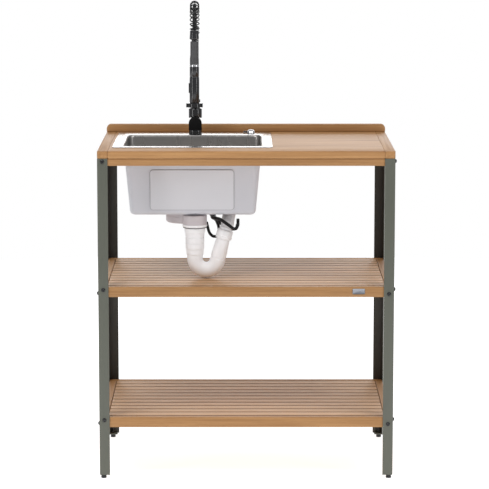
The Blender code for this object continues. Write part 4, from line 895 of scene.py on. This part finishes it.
OUTLET_RADIUS = 0.018
OUTLET_END = 0.020
OUTLET_WALL = 0.0025
OUTLET_MOUTH_DEPTH = 0.030
cuff_end = cuff_start + limb_direction * CUFF_LENGTH
outlet_z = bowl_floor - SINK_STEEL_THICKNESS - 0.006 - OUTLET_RADIUS
bench_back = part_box("worktop_board")[1].y
outlet_run = [cuff_end - limb_direction * 0.004, cuff_end,
              (cuff_end.x + 0.003, cup_y + 0.004, cuff_end.z + 0.008),
              (cuff_end.x + 0.005, cup_y + 0.018, outlet_z - 0.004),
              (cuff_end.x + 0.006, cup_y + 0.042, outlet_z), (cuff_end.x + 0.008, 0.020, outlet_z),
              (cuff_end.x + 0.010, 0.120, outlet_z), (cuff_end.x + 0.010, bench_back - OUTLET_END, outlet_z)]
path = smooth_path(outlet_run, 0.0014)
plain_end = len(path) - 24
radii = []
for index in range(len(path)):
    if index < 3 or index > plain_end:
        radii.append(OUTLET_RADIUS - 0.0012)
    else:
        radii.append(OUTLET_RADIUS - 0.0012 + 0.0011 * math.cos(index * math.pi / 2))
CORRUGATED = plain_finish("corrugated_moulding", (0.78, 0.77, 0.78), (0.35, 0.5), 0.10, 40.0,
                          (300.0, 0.1, 0.0003))
bm = bmesh.new()
sweep(bm, path, radii, 40)
mouth_face = [face for face in bm.faces if len(face.verts) > 8 and face.calc_center_median().y > 0.2]
bmesh.ops.inset_region(bm, faces=mouth_face, thickness=OUTLET_WALL)
pull_faces(bm, mouth_face, (0.0, -OUTLET_MOUTH_DEPTH, 0.0))
bmesh.ops.delete(bm, geom=mouth_face, context="FACES_ONLY")
add_piece(bm, "corrugated_outlet", "root", [CORRUGATED], ["outlet_tube"], 60.0)

# ------------------------------------------------------------------ knob, cable and supply tail
# A chromed knob with a pointer turns in the sink's ledge; its sleeved cable hangs in a loop by the waste. A
# sleeved cold-water tail bends down from the tap.
CHROME = plain_finish("chrome", (0.80, 0.80, 0.82), (0.05, 0.12), 0.05, 30.0, (200.0, 0.03, 0.0001), 1.0)
SLEEVE_BLACK = plain_finish("cable_sleeve", (0.008, 0.008, 0.009), (0.32, 0.45), 0.25, 60.0,
                            (600.0, 0.3, 0.0003), specular=0.2)
low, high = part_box("waste_knob")
knob_x, knob_y = high.x - 0.0115, (low.y + high.y) / 2
knob_seat = high.z - 0.0110
bm = turned(bmesh.new(), [(0.0, high.z)] + [(0.0108 * math.sin(math.radians(angle)),
                                             knob_seat + 0.0030 + 0.0080 * math.cos(math.radians(angle)))
                                            for angle in range(10, 81, 10)]
            + [(0.0112, knob_seat + 0.0030), (0.0115, knob_seat + 0.0024), (0.0115, knob_seat + 0.0012),
               (0.0108, knob_seat), (0.0075, knob_seat), (0.0075, low.z + 0.003), (0.0068, low.z),
               (0.0, low.z)],
            (knob_x, knob_y), 56)
add_piece(bm, "rim_knob", "knob", [CHROME], ["waste_knob"], 40.0)
bm = bmesh.new()
block(bm, (low.x, knob_y - 0.003, knob_seat + 0.0015), (knob_x - 0.009, knob_y + 0.003, knob_seat + 0.0065))
soften(bm, 0.0018, 4)
SATIN_BLACK = plain_finish("satin_black_metal", (0.010, 0.010, 0.011), (0.14, 0.22), 0.15, 30.0,
                           (500.0, 0.05, 0.0002), coat=0.5)
add_piece(bm, "knob_pointer", "knob", [SATIN_BLACK], ["waste_knob"])


def add_sleeved(name, route, spacing, radius, sides, replaces=()):
    """A sleeved cable or tail on a smooth route, fixed to the bench."""
    path = smooth_path(route, spacing)
    bm = bmesh.new()
    sweep(bm, path, [radius] * len(path), sides)
    add_piece(bm, name, "root", [SLEEVE_BLACK], replaces)


CABLE_RADIUS = 0.0041
board_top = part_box("worktop_board")[1].z
cable_route = [(knob_x, knob_y, low.z - AIR), (knob_x, knob_y, board_top - 0.050),
               (knob_x - 0.004, knob_y - 0.002, board_top - 0.100)]
for x, y, z in ((0.152, 0.220, 0.0736), (0.116, 0.215, 0.0476), (0.088, 0.196, 0.0226),
                (0.076, 0.151, 0.0036), (0.082, 0.091, -0.0094), (0.089, 0.051, -0.0214),
                (0.090, 0.026, -0.0334),
                (0.085, 0.012, -0.0429), (0.075, 0.006, -0.0434), (0.066, 0.003, -0.0354),
                (0.0615, 0.001, -0.0244), (0.059, 0.0, -0.0134)):
    cable_route.append((waste_x + x, waste_y + y, body_low + z))
cable_route.append((waste_x + 0.056, waste_y, body_low - AIR - CABLE_RADIUS / 2))
add_sleeved("plug_cable", cable_route, 0.004, CABLE_RADIUS, 16, ["waste_cable"])

PIPE_RADIUS = 0.0045
tap_low, tap_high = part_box("tap_body")
tap_x, tap_y = (tap_low.x + tap_high.x) / 2, (tap_low.y + tap_high.y) / 2
pipe_start = tap_low.z - AIR
pipe_route = [(tap_x, tap_y, pipe_start)]
for x, drop in ((0.001, 0.042), (0.008, 0.102), (0.028, 0.157), (0.052, 0.192), (0.076, 0.212),
                (0.099, 0.224), (0.113, 0.224), (0.1205, 0.215), (0.1210, 0.205), (0.1210, 0.195)):
    pipe_route.append((tap_x + x, tap_y, pipe_start - drop))
add_sleeved("supply_tail", pipe_route, 0.0035, PIPE_RADIUS, 20, ["supply_pipe"])

SECOND_TAIL = [(tap_x + 0.006, tap_y - 0.001, pipe_start + 0.002), (tap_x + 0.012, tap_y - 0.002, 0.800),
               (tap_x + 0.030, tap_y - 0.010, 0.735), (-0.098, 0.115, 0.696), (-0.096, 0.050, 0.692),
               (-0.095, -0.030, 0.693), (-0.090, -0.095, 0.697), (-0.0725, -0.130, 0.699),
               (-0.0503, -0.136, 0.685), (-0.0350, -0.135, 0.6735), (-0.0265, -0.134, 0.6745),
               (-0.0235, -0.133, 0.6860)]
add_sleeved("second_supply_tail", SECOND_TAIL, 0.0035, PIPE_RADIUS, 20)

# ------------------------------------------------------------------ tap
# A satin black tap: a turned base, a lever with a round head that turns and tilts, and a sleeve arched over
# it. The sleeve carries the riser and turns with it.
TAP_RADIUS = 0.0185
TAP_BASE_HEIGHT = 0.0115
LEVER_RING_HEIGHT = 0.0060
ARCH_CENTRE = 0.0315
SLEEVE_LOW = 0.0450
SLEEVE_TOP = 0.0712
tap_seat = rim_top + AIR
base_top = tap_seat + TAP_BASE_HEIGHT
bm = turned(bmesh.new(), [(0.0, tap_high.z), (0.0115, tap_high.z), (0.0120, tap_high.z - 0.0005),
                          (0.0120, base_top), (TAP_RADIUS - 0.0010, base_top),
                          (TAP_RADIUS - 0.0002, base_top - 0.0004), (TAP_RADIUS, base_top - 0.0012),
                          (TAP_RADIUS, tap_seat + 0.0030), (TAP_RADIUS + 0.0005, tap_seat + 0.0024),
                          (TAP_RADIUS + 0.0005, tap_seat + 0.0004), (TAP_RADIUS, tap_seat),
                          (0.0160, tap_seat), (0.0160, tap_low.z + 0.001), (0.0150, tap_low.z),
                          (0.0, tap_low.z)], (tap_x, tap_y), 64)
add_piece(bm, "tap_base", "root", [SATIN_BLACK], ["tap_body"], 35.0)

ring_low = base_top + AIR
ring_top = ring_low + LEVER_RING_HEIGHT
bm = turned(bmesh.new(), [(0.0123, ring_top), (TAP_RADIUS - 0.0012, ring_top),
                          (TAP_RADIUS - 0.0003, ring_top - 0.0004),
                          (TAP_RADIUS, ring_top - 0.0012), (TAP_RADIUS, ring_low + 0.0008),
                          (TAP_RADIUS - 0.0008, ring_low), (0.0123, ring_low), (0.0123, ring_top)],
            (tap_x, tap_y), 64)
add_piece(bm, "lever_collar", "lever_carrier", [SATIN_BLACK], ["lever_ring"], 35.0)

low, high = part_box("tap_lever")
arch_z = tap_seat + ARCH_CENTRE
bm = bmesh.new()
outline = [(tap_x - TAP_RADIUS, low.z), (tap_x + TAP_RADIUS, low.z)]
outline += arc(tap_x, arch_z, TAP_RADIUS, 0, 180, 32)
face = bm.faces.new([bm.verts.new((x, high.y, z)) for x, z in outline])
pull_faces(bm, [face], (0.0, low.y - high.y, 0.0))
bmesh.ops.recalc_face_normals(bm, faces=bm.faces)
soften(bm, 0.0012, 4, 50.0)
LEVER_BLACK = plain_finish("matt_black_lever", (0.006, 0.006, 0.006), (0.35, 0.45), 0.15, 30.0,
                           (700.0, 0.2, 0.0003), specular=0.2)
add_piece(bm, "round_lever", "lever", [LEVER_BLACK], ["tap_lever"])

ARCH_GAP = 0.0013
riser_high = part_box("spout_riser")[1]
sleeve_top = tap_seat + SLEEVE_TOP
sleeve = [(0.0, riser_high.z), (0.0092, riser_high.z), (0.0100, riser_high.z - 0.0008),
          (0.0100, sleeve_top + 0.0060), (0.0112, sleeve_top + 0.0040),
          (TAP_RADIUS - 0.0012, sleeve_top + 0.0006), (TAP_RADIUS - 0.0002, sleeve_top - 0.0004),
          (TAP_RADIUS, sleeve_top - 0.0012), (TAP_RADIUS, tap_seat + 0.0560), (TAP_RADIUS, tap_seat + 0.0005),
          (TAP_RADIUS - 0.0022, tap_seat), (TAP_RADIUS - 0.0022, tap_seat + 0.0540), (0.0, tap_seat + 0.0540)]
bm = turned(bmesh.new(), sleeve, (tap_x, tap_y), 96)
for vert in bm.verts:
    if vert.co.z < tap_seat + 0.001:
        across = min(abs(vert.co.x - tap_x), TAP_RADIUS + ARCH_GAP)
        arch = arch_z + math.sqrt((TAP_RADIUS + ARCH_GAP) ** 2 - across ** 2)
        vert.co.z = max(arch, tap_seat + SLEEVE_LOW) + (vert.co.z - tap_seat)
add_piece(bm, "arched_sleeve", "spout", [SATIN_BLACK], ["spout_riser"], 35.0)

low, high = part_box("tap_nut")
bm = bmesh.new()
bmesh.ops.create_cone(bm, cap_ends=True, segments=6, radius1=0.0215, radius2=0.0215, depth=high.z - low.z,
                      matrix=Matrix.Translation((tap_x, tap_y, (low.z + high.z) / 2)))
soften(bm, 0.0010, 2)
ZINC = plain_finish("plated_nut", (0.52, 0.52, 0.50), (0.3, 0.45), 0.2, 40.0, (300.0, 0.1, 0.0002), 1.0)
add_piece(bm, "fixing_nut", "root", [ZINC], ["tap_nut"])

# ------------------------------------------------------------------ docking arm
# A cast arm clamped round the riser, with an eared ring that the spray head rests in.
dock_low, dock_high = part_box("docking_arm")
head_low, head_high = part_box("spray_head")
head_y = (head_low.y + head_high.y) / 2
HEAD_RADIUS = 0.0135
DOCK_RING = 0.0190
DOCK_BORE = HEAD_RADIUS + 0.0008
bm = bmesh.new()
turned(bm, [(DOCK_BORE, dock_high.z), (DOCK_RING - 0.001, dock_high.z), (DOCK_RING, dock_high.z - 0.001),
            (DOCK_RING, dock_low.z + 0.001), (DOCK_RING - 0.001, dock_low.z), (DOCK_BORE, dock_low.z),
            (DOCK_BORE, dock_high.z)], (tap_x, head_y), 64)
turned(bm, [(0.0103, dock_high.z), (0.0132, dock_high.z), (0.0140, dock_high.z - 0.0008),
            (0.0140, dock_low.z + 0.0008), (0.0132, dock_low.z), (0.0103, dock_low.z), (0.0103, dock_high.z)],
       (tap_x, tap_y), 48)
for low, high in (((tap_x - 0.0060, head_y + DOCK_BORE + 0.0015, dock_low.z + 0.0010),
                   (tap_x + 0.0060, tap_y - 0.0115, dock_high.z - 0.0010)),
                  ((dock_low.x, head_y - 0.0060, dock_low.z + 0.0002),
                   (tap_x - DOCK_RING + 0.0020, head_y + 0.0060, dock_high.z - 0.0002)),
                  ((tap_x + DOCK_RING - 0.0020, head_y - 0.0060, dock_low.z + 0.0002),
                   (dock_high.x, head_y + 0.0060, dock_high.z - 0.0002))):
    start = len(bm.edges)
    block(bm, low, high)
    bm.edges.ensure_lookup_table()
    soften(bm, 0.0012, 3, edges=bm.edges[start:])
add_piece(bm, "docking_ring", "spout", [SATIN_BLACK], ["docking_arm"])

# ------------------------------------------------------------------ hose and spring
# The spray's black hose arches from the riser to the head inside an open coil of black wire.
SPOUT_REACH = tap_y - head_y
SPRING_RADIUS = 0.0130
WIRE_RADIUS = 0.00155
HOSE_RADIUS = 0.0050
COIL_PITCH = 0.0128
spring_low, spring_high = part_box("spout_spring")
arch_radius = SPOUT_REACH / 2
spring_arch_z = spring_high.z - SPRING_RADIUS - arch_radius
line = [(tap_x, tap_y, spring_low.z - 0.004)]
rise = spring_arch_z - spring_low.z
line += [(tap_x, tap_y, spring_low.z + rise * step / 24) for step in range(24)]
line += [(tap_x, y, z) for y, z in arc(tap_y - arch_radius, spring_arch_z, arch_radius, 0, 180, 60)]
drop_end = head_high.z - 0.001
line += [(tap_x, head_y, spring_arch_z + (drop_end - spring_arch_z) * step / 12) for step in range(1, 13)]
line = [Vector(point) for point in line]
HOSE_BLACK = plain_finish("hose_rubber", (0.010, 0.010, 0.011), (0.4, 0.5), 0.2, 50.0, (800.0, 0.3, 0.0003),
                          specular=0.3)
bm = bmesh.new()
sweep(bm, line, [HOSE_RADIUS] * len(line), 24)
hose = add_piece(bm, "spray_hose", None, [HOSE_BLACK], ["spout_spring"])

lengths = [0.0]
for before, after in zip(line, line[1:]):
    lengths.append(lengths[-1] + (after - before).length)
coil, whole, place = [], lengths[-1], 0
turn_steps = 22
steps = round(whole / COIL_PITCH * turn_steps)
for step in range(steps + 1):
    travelled = whole * step / steps
    while place < len(line) - 2 and lengths[place + 1] < travelled:
        place += 1
    share = (travelled - lengths[place]) / (lengths[place + 1] - lengths[place])
    point = line[place].lerp(line[place + 1], share)
    forward = (line[place + 1] - line[place]).normalized()
    across = Vector((1.0, 0.0, 0.0))
    angle = 2 * math.pi * step / turn_steps
    coil.append(point + (across * math.cos(angle) + forward.cross(across) * math.sin(angle))
                * (SPRING_RADIUS - WIRE_RADIUS))
bm = bmesh.new()
sweep(bm, coil, [WIRE_RADIUS] * len(coil), 9)
SPRING_BLACK = plain_finish("spring_wire", (0.007, 0.007, 0.008), (0.16, 0.26), 0.2, 80.0,
                            (600.0, 0.1, 0.0002), specular=0.4)
spring = add_piece(bm, "coil_spring", None, [SPRING_BLACK], ["spout_spring"])
for piece in (hose, spring):
    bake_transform(piece)

bm = turned(bmesh.new(), [(0.0, spring_low.z + 0.010), (0.0090, spring_low.z + 0.010)]
            + [(0.0102, spring_low.z + 0.009), (0.0112, spring_low.z + 0.002),
               (0.0112, spring_low.z - 0.0070), (0.0104, spring_low.z - 0.0085),
               (0.0, spring_low.z - 0.0085)], (tap_x, tap_y), 48)
add_piece(bm, "riser_ferrule", "spout", [SATIN_BLACK], (), 35.0)

# ------------------------------------------------------------------ spray head
# A satin black handle in two turned parts with a bright ring between them, a flared collar on top, a rubber
# spray face below and a push button on its left.
SATIN_HANDLE = plain_finish("satin_black_handle", (0.012, 0.012, 0.014), (0.14, 0.22), 0.12, 30.0,
                            (600.0, 0.05, 0.0002), coat=0.5)
GREY_GRIP = plain_finish("matt_grey_grip", (0.060, 0.060, 0.062), (0.42, 0.55), 0.12, 30.0,
                         (600.0, 0.2, 0.0003))
top = head_high.z
bm = turned(bmesh.new(), [(0.0, top), (0.0100, top), (0.0112, top - 0.0006), (0.0118, top - 0.0020),
                          (0.0122, top - 0.0120), (0.0130, top - 0.0225), (0.0128, top - 0.0242),
                          (0.0112, top - 0.0262), (0.0086, top - 0.0272), (0.0072, top - 0.0280),
                          (0.0072, top - 0.0296), (0.0086, top - 0.0304), (0.0104, top - 0.0318),
                          (0.0110, top - 0.0340), (0.0112, top - 0.0700), (0.0118, top - 0.0720),
                          (0.0124, top - 0.0800), (0.0125, top - 0.0955), (0.0, top - 0.0955)],
            (tap_x, head_y), 64)
for face in bm.faces:
    face.material_index = int(top - 0.0955 < face.calc_center_median().z < top - 0.0310)
add_piece(bm, "spray_handle", "spray", [SATIN_HANDLE, GREY_GRIP], ["spray_head"], 35.0)
bm = turned(bmesh.new(), [(0.0, top - 0.0956), (0.0122, top - 0.0956), (0.0127, top - 0.0962),
                          (0.0127, top - 0.1010), (0.0122, top - 0.1016), (0.0, top - 0.1016)],
            (tap_x, head_y), 64)
add_piece(bm, "bright_ring", "spray", [CHROME], (), 35.0)

low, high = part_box("spray_button")
spray_high, spray_low = top - 0.1017, head_low.z
profile = [(0.0, spray_high), (0.0124, spray_high), (0.0129, spray_high - 0.0006),
           (0.0130, spray_low + 0.0884), (0.0127, spray_low + 0.0879), (0.0127, spray_low + 0.0861),
           (0.0131, spray_low + 0.0856),
           (HEAD_RADIUS, spray_low + 0.0760), (HEAD_RADIUS, spray_low + 0.0022),
           (HEAD_RADIUS - 0.0007, spray_low + 0.0006), (HEAD_RADIUS - 0.0020, spray_low), (0.0105, spray_low),
           (0.0105, spray_low + 0.0012), (0.0, spray_low + 0.0012)]
bm = turned(bmesh.new(), profile, (tap_x, head_y), 64)
add_piece(bm, "spray_body", "spray", [SATIN_HANDLE], ["spray_head"], 35.0)

bm = turned(bmesh.new(), [(0.0, spray_low + 0.0030), (0.0103, spray_low + 0.0030),
                          (0.0103, spray_low + 0.0008), (0.0095, spray_low + 0.0003),
                          (0.0, spray_low + 0.0003)], (tap_x, head_y), 48)
for ring, (count, reach) in enumerate(((1, 0.0), (6, 0.0034), (12, 0.0068))):
    for index in range(count):
        angle = 2 * math.pi * (index + 0.5 * ring) / count
        spot = Matrix.Translation((tap_x + reach * math.cos(angle), head_y + reach * math.sin(angle),
                                   spray_low - 0.0002))
        bmesh.ops.create_cone(bm, cap_ends=True, segments=10, radius1=0.0005, radius2=0.0008, depth=0.0014,
                              matrix=spot)
SPRAY_RUBBER = plain_finish("spray_rubber", (0.10, 0.10, 0.105), (0.5, 0.6), 0.1, 60.0, (700.0, 0.2, 0.0002))
add_piece(bm, "spray_face", "spray", [SPRAY_RUBBER], (), 35.0)

bm = bmesh.new()
block(bm, low, high)
soften(bm, 0.0014, 4)
add_piece(bm, "push_button", "spray_trigger", [SATIN_BLACK], ["spray_button"])
